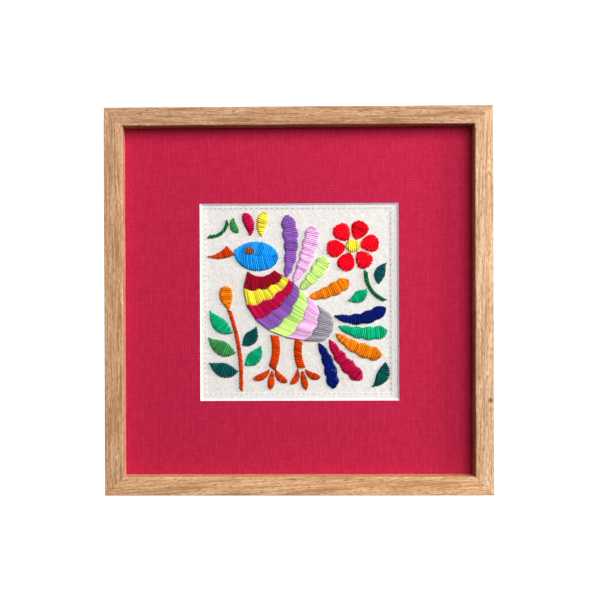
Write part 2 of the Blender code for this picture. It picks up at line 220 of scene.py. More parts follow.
@dataclass(frozen=True)
class OakFinish:
    """Sawn oak, sanded and rubbed with a matt oil.

    It is warm tan, with broad drifts of tone, streaks of figure, short fibres and open pores, and it
    hardly shines. A length comes first and then a width, along and across the grain. The fibres and
    pores are about twice as wide as real ones, so that they show.
    """

    name: str
    way: GrainWay
    # Where along the wood this rail was cut, and the lightness and warmth of its own board.
    offset: float
    tint: tuple[float, float, float]
    knot: tuple[float, float] | None = None
    slope: float = 0.0
    pale: str = "#E7CBAA"
    tan: str = "#D5AD8A"
    streak: str = "#AA8663"
    pore: str = "#785740"
    drift_mm: tuple[float, float] = (60.0, 7.0)
    figure_mm: tuple[float, float] = (26.0, 1.2)
    fibre_mm: tuple[float, float] = (2.6, 0.5)
    pore_mm: tuple[float, float] = (5.0, 0.5)
    sway_mm: float = 1.0
    sway_size_mm: tuple[float, float] = (24.0, 9.0)
    knot_mm: float = 2.3
    # Where the grain passes from streak to tan to pale, and how much the drift counts in it.
    streak_at: float = 0.52
    tan_at: float = 0.70
    pale_at: float = 0.92
    drift_weight: float = 0.45
    # The noise levels at which a mark starts and is full, and how strongly it covers.
    fibre_levels: tuple[float, float, float] = (0.42, 0.72, 1.0)
    pore_levels: tuple[float, float, float] = (0.62, 0.74, 0.65)
    knot_core: float = 0.3
    knot_strength: float = 0.95
    relief: tuple[float, float] = (0.30, 0.12 * MM)
    roughness: float = 0.55
    specular: float = 0.05

    def build(self) -> bpy.types.Material:
        """Make the material.

        Returns:
            The finished material.
        """
        material = bpy.data.materials.new(self.name)
        material.use_nodes = True
        tree = material.node_tree
        shader = tree.nodes["Principled BSDF"]
        place = add_node(tree, "ShaderNodeTexCoord").outputs["Object"]
        turned = add_node(
            tree,
            "ShaderNodeMapping",
            {
                "Vector": place,
                "Rotation": (0.0, 0.0, self.slope - self.way.value),
                "Location": (self.offset, 0.0, 0.0),
            },
        ).outputs[0]
        sway = add_node(
            tree,
            "ShaderNodeTexNoise",
            {"Vector": self._stretched(tree, turned, self.sway_size_mm), "Scale": 1.0, "Detail": 1.0},
        ).outputs["Color"]
        swayed = add_node(
            tree,
            "ShaderNodeVectorMath",
            {0: sway, 1: (0.0, self.sway_mm * MM, self.sway_mm * MM), 2: turned},
            operation="MULTIPLY_ADD",
        ).outputs[0]
        drift = self._streaks(tree, swayed, self.drift_mm, 1.0)
        figure = self._streaks(tree, swayed, self.figure_mm, 2.0)
        fibre = self._streaks(tree, swayed, self.fibre_mm, 2.0)
        pores = self._streaks(tree, swayed, self.pore_mm, 0.0)
        grain = add_node(
            tree,
            "ShaderNodeMath",
            {0: drift, 1: self.drift_weight, 2: figure},
            operation="MULTIPLY_ADD",
        ).outputs[0]
        ground = add_node(tree, "ShaderNodeValToRGB", {0: grain})
        stops = ground.color_ramp.elements
        stops[0].position = self.streak_at
        stops[0].color = linear(self.streak)
        stops[1].position = self.pale_at
        stops[1].color = linear(self.pale)
        middle = stops.new(self.tan_at)
        middle.color = linear(self.tan)
        fibre_share = self._share(tree, fibre, *self.fibre_levels)
        fibred = self._blend(tree, fibre_share, ground.outputs[0], self.streak)
        pore_share = self._share(tree, pores, *self.pore_levels)
        coloured = self._blend(tree, pore_share, fibred, self.pore)
        if self.knot:
            away = add_node(
                tree,
                "ShaderNodeVectorMath",
                {0: place, 1: (*self.knot, FRAME_DEPTH)},
                operation="DISTANCE",
            ).outputs["Value"]
            rim = self.knot_mm * MM
            inside = self._share(tree, away, rim, self.knot_core * rim, self.knot_strength)
            coloured = self._blend(tree, inside, coloured, self.pore)
        toned = add_node(
            tree, "ShaderNodeVectorMath", {0: coloured, 1: self.tint}, operation="MULTIPLY"
        ).outputs[0]
        height = add_node(
            tree, "ShaderNodeMath", {0: pore_share, 1: -1.0, 2: figure}, operation="MULTIPLY_ADD"
        ).outputs[0]
        relief = add_node(
            tree,
            "ShaderNodeBump",
            {"Height": height, "Strength": self.relief[0], "Distance": self.relief[1]},
        ).outputs[0]
        tree.links.new(toned, shader.inputs["Base Color"])
        tree.links.new(relief, shader.inputs["Normal"])
        shader.inputs["Roughness"].default_value = self.roughness
        shader.inputs["Specular IOR Level"].default_value = self.specular
        return material

    def _share(
        self,
        tree: bpy.types.NodeTree,
        value: bpy.types.NodeSocket,
        low: float,
        high: float,
        most: float,
    ) -> bpy.types.NodeSocket:
        """How far a value lies from one level to another, up to a most."""
        return add_node(
            tree, "ShaderNodeMapRange", {0: value, 1: low, 2: high, 3: 0.0, 4: most}
        ).outputs[0]

    def _blend(
        self,
        tree: bpy.types.NodeTree,
        share: bpy.types.NodeSocket,
        under: bpy.types.NodeSocket,
        over: str,
    ) -> bpy.types.NodeSocket:
        """A share of one colour over another."""
        return add_node(
            tree, "ShaderNodeMix", {0: share, 6: under, 7: linear(over)}, data_type="RGBA"
        ).outputs[2]

    def _stretched(
        self, tree: bpy.types.NodeTree, place: bpy.types.NodeSocket, size_mm: tuple[float, float]
    ) -> bpy.types.NodeSocket:
        """Scale coordinates so that one unit is a length along the grain and a width across it."""
        along, across = size_mm
        scale = (1 / (along * MM), 1 / (across * MM), 1 / (across * MM))
        return add_node(
            tree, "ShaderNodeVectorMath", {0: place, 1: scale}, operation="MULTIPLY"
        ).outputs[0]

    def _streaks(
        self,
        tree: bpy.types.NodeTree,
        place: bpy.types.NodeSocket,
        size_mm: tuple[float, float],
        detail: float,
    ) -> bpy.types.NodeSocket:
        """Noise drawn out along the grain, of a given length and width."""
        stretched = self._stretched(tree, place, size_mm)
        return add_node(
            tree, "ShaderNodeTexNoise", {"Vector": stretched, "Scale": 1.0, "Detail": detail}
        ).outputs["Fac"]


@dataclass(frozen=True)
class LinenPaperFinish:
    """Crimson mat paper with a linen emboss.

    Upright and level ribs fade in and out as slubbed yarns do, over a fine tooth, and it is matt. Its
    real ribs are about half a millimetre apart. They are drawn at 1.9 mm, so that they show. Its
    colour is painted brighter where the emboss stands high and darker where it is low, painted light
    and shade that follow the emboss.
    """

    name: str = "crimson_linen_embossed_paper"
    deep: str = "#AE1138"
    bright: str = "#BE2246"
    rib_mm: float = 1.9
    run_mm: float = 7.0
    tooth_mm: float = 1.2
    tooth_weight: float = 0.7
    level_weight: float = 0.6
    # The emboss heights at which the painted light on the ribs starts and is brightest.
    painted_rib_light_levels: tuple[float, float] = (0.05, 0.75)
    # How strong a rib is where it fades and where it stands.
    rib_strength: tuple[float, float] = (0.05, 0.55)
    relief: tuple[float, float] = (0.35, 0.12 * MM)
    roughness: float = 0.85
    specular: float = 0.2

    def build(self) -> bpy.types.Material:
        """Make the material.

        Returns:
            The finished material.
        """
        material = bpy.data.materials.new(self.name)
        material.use_nodes = True
        tree = material.node_tree
        shader = tree.nodes["Principled BSDF"]
        place = add_node(tree, "ShaderNodeTexCoord").outputs["Object"]
        upright = self._ribs(tree, place, "X", (self.rib_mm, self.run_mm))
        level = self._ribs(tree, place, "Y", (self.run_mm, self.rib_mm))
        tooth = add_node(
            tree,
            "ShaderNodeTexNoise",
            {"Vector": place, "Scale": 1 / (self.tooth_mm * MM), "Detail": 1.0},
        ).outputs["Fac"]
        toothed = add_node(
            tree,
            "ShaderNodeMath",
            {0: tooth, 1: self.tooth_weight, 2: -self.tooth_weight / 2},
            operation="MULTIPLY_ADD",
        ).outputs[0]
        ribbed = add_node(
            tree,
            "ShaderNodeMath",
            {0: level, 1: self.level_weight, 2: upright},
            operation="MULTIPLY_ADD",
        ).outputs[0]
        weave = add_node(tree, "ShaderNodeMath", {0: ribbed, 1: toothed}, operation="ADD").outputs[0]
        low, high = self.painted_rib_light_levels
        share = add_node(
            tree, "ShaderNodeMapRange", {0: weave, 1: low, 2: high, 3: 0.0, 4: 1.0}
        ).outputs[0]
        # Painted light and shade: brighter on the emboss's ribs, darker between them.
        coloured = add_node(
            tree,
            "ShaderNodeMix",
            {0: share, 6: linear(self.deep), 7: linear(self.bright)},
            data_type="RGBA",
        ).outputs[2]
        relief = add_node(
            tree,
            "ShaderNodeBump",
            {"Height": weave, "Strength": self.relief[0], "Distance": self.relief[1]},
        ).outputs[0]
        tree.links.new(coloured, shader.inputs["Base Color"])
        tree.links.new(relief, shader.inputs["Normal"])
        shader.inputs["Roughness"].default_value = self.roughness
        shader.inputs["Specular IOR Level"].default_value = self.specular
        return material

    def _ribs(
        self,
        tree: bpy.types.NodeTree,
        place: bpy.types.NodeSocket,
        way: str,
        size_mm: tuple[float, float],
    ) -> bpy.types.NodeSocket:
        """Make even ribs across one axis that fade in and out along their run.

        Args:
            tree: The material's tree.
            place: The coordinates.
            way: The axis that the ribs lie across, X or Y.
            size_mm: How wide and how high a stretch fades as one.

        Returns:
            The ribs' height.
        """
        # Wave bands repeat every 2 pi / 20 of a unit at scale 1.
        ribs = add_node(
            tree,
            "ShaderNodeTexWave",
            {
                "Vector": place,
                "Scale": math.pi / (10 * self.rib_mm * MM),
                "Distortion": 2.5,
                "Detail": 1.0,
                "Detail Scale": 0.15,
            },
            bands_direction=way,
        ).outputs["Fac"]
        wide, high = size_mm
        stretched = add_node(
            tree,
            "ShaderNodeVectorMath",
            {0: place, 1: (0.8 / (wide * MM), 0.8 / (high * MM), 0.0)},
            operation="MULTIPLY",
        ).outputs[0]
        patchy = add_node(
            tree, "ShaderNodeTexNoise", {"Vector": stretched, "Scale": 1.0, "Detail": 1.0}
        ).outputs["Fac"]
        weak, strong = self.rib_strength
        fading = add_node(
            tree, "ShaderNodeMapRange", {0: patchy, 1: 0.35, 2: 0.65, 3: weak, 4: strong}
        ).outputs[0]
        return add_node(tree, "ShaderNodeMath", {0: ribs, 1: fading}, operation="MULTIPLY").outputs[0]


@dataclass(frozen=True)
class BoardFinish:
    """Pressed paper board: an even ground with faint clouding and a felted surface."""

    name: str
    ground: str
    cloud: str
    cloud_mm: float = 6.0
    felt_mm: float = 0.5
    relief: tuple[float, float] = (0.2, 0.08 * MM)
    roughness: float = 0.9
    specular: float = 0.2

    def build(self) -> bpy.types.Material:
        """Make the material.

        Returns:
            The finished material.
        """
        material = bpy.data.materials.new(self.name)
        material.use_nodes = True
        tree = material.node_tree
        shader = tree.nodes["Principled BSDF"]
        place = add_node(tree, "ShaderNodeTexCoord").outputs["Object"]
        cloud = add_node(
            tree,
            "ShaderNodeTexNoise",
            {"Vector": place, "Scale": 1 / (self.cloud_mm * MM), "Detail": 6.0, "Roughness": 0.7},
        ).outputs["Fac"]
        felt = add_node(
            tree,
            "ShaderNodeTexNoise",
            {"Vector": place, "Scale": 1 / (self.felt_mm * MM), "Detail": 2.0},
        ).outputs["Fac"]
        coloured = add_node(
            tree,
            "ShaderNodeMix",
            {0: cloud, 6: linear(self.ground), 7: linear(self.cloud)},
            data_type="RGBA",
        ).outputs[2]
        relief = add_node(
            tree,
            "ShaderNodeBump",
            {"Height": felt, "Strength": self.relief[0], "Distance": self.relief[1]},
        ).outputs[0]
        tree.links.new(coloured, shader.inputs["Base Color"])
        tree.links.new(relief, shader.inputs["Normal"])
        shader.inputs["Roughness"].default_value = self.roughness
        shader.inputs["Specular IOR Level"].default_value = self.specular
        return material


@dataclass(frozen=True)
class CottonFinish:
    """Unbleached cotton in plain weave.

    Its yarns are uneven both ways, with small slubs, and it is matt with a faint fuzz. The yarns are
    drawn 0.55 mm wide, about twice as coarse as real ones, so that they show. Its colour is painted
    paler where the yarns and slubs stand high and darker in the hollows, painted light and shade that
    follow the weave.
    """

    name: str = "unbleached_cotton_plain_weave"
    pale: str = "#E3E0DC"
    shade: str = "#CFC9C4"
    yarn_mm: float = 0.55
    run_mm: float = 3.0
    slub_mm: float = 1.3
    # The weave heights at which the painted light on the high yarns starts and is palest.
    painted_crest_light_levels: tuple[float, float] = (1.15, 1.75)
    relief: tuple[float, float] = (0.45, 0.18 * MM)
    roughness: float = 0.95
    specular: float = 0.15
    sheen: float = 0.1

    def build(self) -> bpy.types.Material:
        """Make the material.

        Returns:
            The finished material.
        """
        material = bpy.data.materials.new(self.name)
        material.use_nodes = True
        tree = material.node_tree
        shader = tree.nodes["Principled BSDF"]
        place = add_node(tree, "ShaderNodeTexCoord").outputs["Object"]
        warp = self._yarns(tree, place, (self.yarn_mm, self.run_mm))
        weft = self._yarns(tree, place, (self.run_mm, self.yarn_mm))
        slubs = self._yarns(tree, place, (self.slub_mm, self.slub_mm))
        woven = add_node(tree, "ShaderNodeMath", {0: warp, 1: weft}, operation="ADD").outputs[0]
        height = add_node(tree, "ShaderNodeMath", {0: woven, 1: slubs}, operation="ADD").outputs[0]
        low, high = self.painted_crest_light_levels
        share = add_node(
            tree, "ShaderNodeMapRange", {0: height, 1: low, 2: high, 3: 0.0, 4: 1.0}
        ).outputs[0]
        # Painted light and shade: paler on the weave's crests, darker in its hollows.
        coloured = add_node(
            tree,
            "ShaderNodeMix",
            {0: share, 6: linear(self.shade), 7: linear(self.pale)},
            data_type="RGBA",
        ).outputs[2]
        relief = add_node(
            tree,
            "ShaderNodeBump",
            {"Height": height, "Strength": self.relief[0], "Distance": self.relief[1]},
        ).outputs[0]
        tree.links.new(coloured, shader.inputs["Base Color"])
        tree.links.new(relief, shader.inputs["Normal"])
        shader.inputs["Roughness"].default_value = self.roughness
        shader.inputs["Specular IOR Level"].default_value = self.specular
        shader.inputs["Sheen Weight"].default_value = self.sheen
        return material

    def _yarns(
        self, tree: bpy.types.NodeTree, place: bpy.types.NodeSocket, size_mm: tuple[float, float]
    ) -> bpy.types.NodeSocket:
        """Noise with spots of a given width and height."""
        wide, high = size_mm
        stretched = add_node(
            tree,
            "ShaderNodeVectorMath",
            {0: place, 1: (1 / (wide * MM), 1 / (high * MM), 0.0)},
            operation="MULTIPLY",
        ).outputs[0]
        return add_node(
            tree, "ShaderNodeTexNoise", {"Vector": stretched, "Scale": 1.0, "Detail": 1.0}
        ).outputs["Fac"]


@dataclass(frozen=True)
class ThreadFinish:
    """Mercerised cotton floss, loosely twisted.

    It has a strong colour and a low, soft shine. Each stitch's brightness comes from its tone
    attribute, which holds painted shade on the lower stitches, painted light on the upper ones and a
    random tone of its own. The strands wind round it along its run.
    """

    name: str
    shade: str
    # How far the tone attribute darkens or brightens a stitch: painted shade and light, and random tone.
    shade_and_tone_span: float = 0.46
    twist_mm: float = 2.2
    strands: float = 3.0
    relief: tuple[float, float] = (0.55, 0.12 * MM)
    roughness: float = 0.5
    specular: float = 0.08

    def build(self) -> bpy.types.Material:
        """Make the material.

        Returns:
            The finished material.
        """
        material = bpy.data.materials.new(self.name)
        material.use_nodes = True
        tree = material.node_tree
        shader = tree.nodes["Principled BSDF"]
        # The tone attribute holds painted shade on lower stitches, painted light on upper ones, and
        # random tone.
        tone = add_node(tree, "ShaderNodeAttribute", attribute_name="tone").outputs["Fac"]
        brightness = add_node(
            tree,
            "ShaderNodeMapRange",
            {0: tone, 1: 0.0, 2: 1.0, 3: 1 - self.shade_and_tone_span, 4: 1 + self.shade_and_tone_span},
        ).outputs[0]
        coloured = add_node(
            tree,
            "ShaderNodeVectorMath",
            {0: linear(self.shade)[:3], "Scale": brightness},
            operation="SCALE",
        ).outputs[0]
        run = add_node(tree, "ShaderNodeAttribute", attribute_name="thread_run").outputs["Fac"]
        around = add_node(tree, "ShaderNodeAttribute", attribute_name="thread_round").outputs["Fac"]
        twisted = add_node(
            tree,
            "ShaderNodeMath",
            {0: run, 1: 1 / (self.twist_mm * MM), 2: around},
            operation="MULTIPLY_ADD",
        ).outputs[0]
        angle = add_node(
            tree,
            "ShaderNodeMath",
            {0: twisted, 1: 2 * math.pi * self.strands},
            operation="MULTIPLY",
        ).outputs[0]
        ply = add_node(tree, "ShaderNodeMath", {0: angle}, operation="SINE").outputs[0]
        relief = add_node(
            tree,
            "ShaderNodeBump",
            {"Height": ply, "Strength": self.relief[0], "Distance": self.relief[1]},
        ).outputs[0]
        tree.links.new(coloured, shader.inputs["Base Color"])
        tree.links.new(relief, shader.inputs["Normal"])
        shader.inputs["Roughness"].default_value = self.roughness
        shader.inputs["Specular IOR Level"].default_value = self.specular
        return material


@dataclass
class GeometryTool:
    """A Geometry Nodes tree with named inputs, run on a guide mesh."""

    name: str
    tree: bpy.types.NodeTree = field(init=False)
    entry: bpy.types.Node = field(init=False)
    exit: bpy.types.Node = field(init=False)

    def __post_init__(self) -> None:
        """Start the tree with its geometry sockets."""
        self.tree = bpy.data.node_groups.new(self.name, "GeometryNodeTree")
        self.tree.interface.new_socket("Geometry", in_out="INPUT", socket_type="NodeSocketGeometry")
        self.tree.interface.new_socket("Geometry", in_out="OUTPUT", socket_type="NodeSocketGeometry")
        self.entry = add_node(self.tree, "NodeGroupInput")
        self.exit = add_node(self.tree, "NodeGroupOutput")

    def take(self, name: str, kind: str = "NodeSocketFloat") -> bpy.types.NodeSocket:
        """Add a named input.

        Args:
            name: The input's name.
            kind: Its socket type.

        Returns:
            The socket that gives its value inside the tree.
        """
        self.tree.interface.new_socket(name, in_out="INPUT", socket_type=kind)
        return self.entry.outputs[name]

    def node(
        self, kind: str, sockets: Mapping[int | str, object] | None = None, **settings: object
    ) -> bpy.types.Node:
        """Add a node to the tree, as add_node does."""
        return add_node(self.tree, kind, sockets, **settings)

    def end(self, geometry: bpy.types.NodeSocket, material: bpy.types.NodeSocket) -> None:
        """Close the tree with Realize Instances and Set Material.

        Args:
            geometry: What the tree has made.
            material: The material that all of it gets.
        """
        real = self.node("GeometryNodeRealizeInstances", {0: geometry}).outputs[0]
        done = self.node("GeometryNodeSetMaterial", {"Geometry": real, "Material": material})
        self.tree.links.new(done.outputs[0], self.exit.inputs[0])

    def run(self, name: str, guide: bpy.types.Mesh, **values: object) -> bpy.types.Mesh:
        """Run the tree on a guide.

        Args:
            name: The new mesh's name.
            guide: The mesh that the tree starts from.
            values: The named inputs, with underscores for spaces.

        Returns:
            The result as a plain mesh.
        """
        carrier = bpy.data.objects.new(name, guide)
        bpy.context.scene.collection.objects.link(carrier)
        modifier = carrier.modifiers.new(self.name, "NODES")
        modifier.node_group = self.tree
        sockets = {
            item.name: item.identifier
            for item in self.tree.interface.items_tree
            if item.in_out == "INPUT"
        }
        for key, value in values.items():
            modifier[sockets[key.replace("_", " ").capitalize()]] = value
        graph = bpy.context.evaluated_depsgraph_get()
        evaluated = carrier.evaluated_get(graph)
        mesh = bpy.data.meshes.new_from_object(
            evaluated, preserve_all_data_layers=True, depsgraph=graph
        )
        mesh.name = name
        carrier.modifiers.clear()
        bpy.data.objects.remove(carrier)
        bpy.data.meshes.remove(guide)
        return mesh


@dataclass(frozen=True)
class Guide:
    """Two edges, level with each other, that a row of stitches runs between.

    The stitches are spaced by the pitch, which is coarser than real floss, so that they show. A row
    leans by a slant along its run, and it starts and ends inside its edges by the inset.
    """

    name: str
    thread: Thread
    left: tuple[Vector, ...]
    right: tuple[Vector, ...]
    base: float = STITCH_BASE
    lean: float = 0.18 * MM
    inset: float = 0.40 * MM
    pitch: float = 0.63 * MM
    crossed: bool = True
    seam: bool = False

    SEAM_OVERLAP = 0.85 * MM

    def rows(self) -> list[tuple[tuple[Vector, ...], tuple[Vector, ...]]]:
        """Pair the edges up.

        Returns:
            One pair, or two that meet at a seam along the middle.
        """
        if not self.seam:
            return [(self.left, self.right)]
        halves = []
        for near, far in ((self.left, self.right), (self.right, self.left)):
            middle = tuple(
                (a + b) / 2 + (b - a).normalized() * self.SEAM_OVERLAP for a, b in zip(near, far)
            )
            halves.append((near, middle))
        return halves

    def mesh(self) -> bpy.types.Mesh:
        """Draw the rows.

        Returns:
            A line along the middle of each row, whose points know both edges.
        """
        points: list[Vector] = []
        edges: list[tuple[int, int]] = []
        sides: dict[str, list[float]] = {"left": [], "right": []}
        for left, right in self.rows():
            first = len(points)
            points += [((a + b) / 2).to_3d() for a, b in zip(left, right)]
            edges += [(i, i + 1) for i in range(first, len(points) - 1)]
            for label, side in (("left", left), ("right", right)):
                sides[label] += [c for p in side for c in (p.x, p.y, 0.0)]
        mesh = bpy.data.meshes.new(self.name)
        mesh.from_pydata(points, edges, [])
        for label, numbers in sides.items():
            values = mesh.attributes.new(label, "FLOAT_VECTOR", "POINT")
            values.data.foreach_set("vector", numbers)
        return mesh


@dataclass(frozen=True)
class Patch:
    """One patch of stitches from its base to its tip, in millimetres.

    The spine bends to the left by a share of its length. The edges may carry scallops.
    """

    name: str
    thread: Thread
    base: tuple[float, float]
    tip: tuple[float, float]
    bend: float
    width: float
    outline: Outline
    scallops: int = 0

    STEPS = 40
    TIP_HALF = 0.5
    SCALLOP_DIP = 0.24
    # The slant and pitch of stem stitches, narrow and broad, and the slant of a seamed patch.
    NARROW_STEM = (-1.1, 1.05)
    BROAD_STEM = (-0.9, 0.68)
    SEAM_LEAN = 1.2
    # A stem narrower than this is a row of slanting stem stitches.
    SATIN_FROM = 4.0
    # A patch wider than this is stitched in two rows that meet along its middle.
    SEAM_FROM = 15.0

    def guide(self) -> Guide:
        """Work out the two edges of the patch.

        Returns:
            The guide for its stitches.
        """
        base = Vector(self.base)
        tip = Vector(self.tip)
        middle = (base + tip) / 2 + left_of(tip - base) * 2 * self.bend
        left: list[Vector] = []
        right: list[Vector] = []
        for step in range(self.STEPS + 1):
            t = (1 - math.cos(math.pi * step / self.STEPS)) / 2
            point, heading = bend_point(base, middle, tip, t)
            half = self.width / 2 * self.outline.share(t)
            if self.scallops:
                half *= 1 - self.SCALLOP_DIP * (1 - abs(math.sin(math.pi * self.scallops * t)))
            half = max(half, self.TIP_HALF)
            left.append((point + left_of(heading) * half) * MM)
            right.append((point - left_of(heading) * half) * MM)
        sides = (f"stitched_{self.name}", self.thread, tuple(left), tuple(right))
        if self.outline is Outline.STEM:
            narrow = self.width < self.SATIN_FROM
            lean, pitch = self.NARROW_STEM if narrow else self.BROAD_STEM
            return Guide(*sides, lean=lean * MM, pitch=pitch * MM, crossed=False)
        if self.width > self.SEAM_FROM:
            return Guide(*sides, lean=self.SEAM_LEAN * MM, crossed=False, seam=True)
        return Guide(*sides)


def bend_point(base: Vector, middle: Vector, tip: Vector, t: float) -> tuple[Vector, Vector]:
    """A point on a bend from base to tip that leans towards a middle point, and its direction."""
    point = base * (1 - t) ** 2 + middle * 2 * t * (1 - t) + tip * t**2
    heading = ((middle - base) * (1 - t) + (tip - middle) * t).normalized()
    return point, heading


def left_of(heading: Vector) -> Vector:
    """A direction turned a quarter turn to the left."""
    return Vector((-heading.y, heading.x))


@dataclass(frozen=True)
class BirdBody:
    """The bird's body, in metres: a bent axis from neck to rump, crossed by scalloped bands."""

    neck: tuple[float, float] = (-0.0240, 0.0195)
    belly: tuple[float, float] = (-0.0225, -0.0065)
    rump: tuple[float, float] = (0.0190, -0.0175)
    half: float = 0.0170
    slit: float = 0.0008
    bulge: float = 0.0035
    scallops: int = 3
    scallop_rise: float = 0.0014
    # The bands' threads share their needle holes, so they reach past the slits between the solids.
    inset: float = -0.45 * MM
    bands: tuple[Thread, ...] = (
        Thread.MAROON,
        Thread.YELLOW,
        Thread.CRIMSON,
        Thread.PURPLE,
        Thread.LIME,
        Thread.PINK,
        Thread.GREY,
    )

    STEPS = 48
    # The half width at the neck and the rump as a share of the widest, and where that lies.
    NECK_SHARE = 0.52
    FULLEST = 0.9

    def _edge(self, number: int, shift: float, across: float) -> Vector:
        """Find a point on the line before a band.

        Args:
            number: The band's number, from the neck.
            shift: How far the point moves towards the rump.
            across: Its place across the body, from -1 to 1.

        Returns:
            The point.
        """
        along = number / len(self.bands)
        point, heading = bend_point(Vector(self.neck), Vector(self.belly), Vector(self.rump), along)
        swell = math.sin(math.pi * along**self.FULLEST)
        half = self.half * (self.NECK_SHARE + (1 - self.NECK_SHARE) * swell)
        inside = 0 < number < len(self.bands)
        ripple = abs(math.sin(math.pi * self.scallops * (across + 1) / 2)) * self.scallop_rise
        push = self.bulge * (1 - across**2) + (ripple if inside else 0.0) + shift
        return point + left_of(heading) * half * across + heading * push

    def guides(self) -> list[Guide]:
        """Lay out the bands.

        Returns:
            Their guides, from neck to rump.
        """
        places = [2 * step / self.STEPS - 1 for step in range(self.STEPS + 1)]
        return [
            Guide(
                f"stitched_band_{number + 1}",
                thread,
                tuple(self._edge(number, self.slit / 2, across) for across in places),
                tuple(self._edge(number + 1, -self.slit / 2, across) for across in places),
                inset=self.inset,
            )
            for number, thread in enumerate(self.bands)
        ]


@dataclass(frozen=True)
class Flower:
    """A round flower: petals turned about a centre, and a yellow eye, in millimetres."""

    centre: tuple[float, float] = (36.0, 36.0)
    petals: int = 6
    foot: float = 5.2
    reach: float = 17.0
    width: float = 13.2
    eye: float = 4.4
    turn: float = math.radians(8)

    def patches(self) -> list[Patch]:
        """Lay out the flower.

        Returns:
            Its petals, then its eye.
        """
        centre = Vector(self.centre)
        rows = []
        for number in range(self.petals):
            angle = self.turn + 2 * math.pi * number / self.petals
            ray = Vector((math.cos(angle), math.sin(angle)))
            base = tuple(centre + ray * self.foot)
            tip = tuple(centre + ray * self.reach)
            name = f"petal_{number + 1}"
            rows.append(Patch(name, Thread.RED, base, tip, 0.0, self.width, Outline.PETAL))
        west = (centre.x - self.eye, centre.y)
        east = (centre.x + self.eye, centre.y)
        rows.append(Patch("flower_eye", Thread.YELLOW, west, east, 0.0, 2 * self.eye, Outline.OVAL))
        return rows


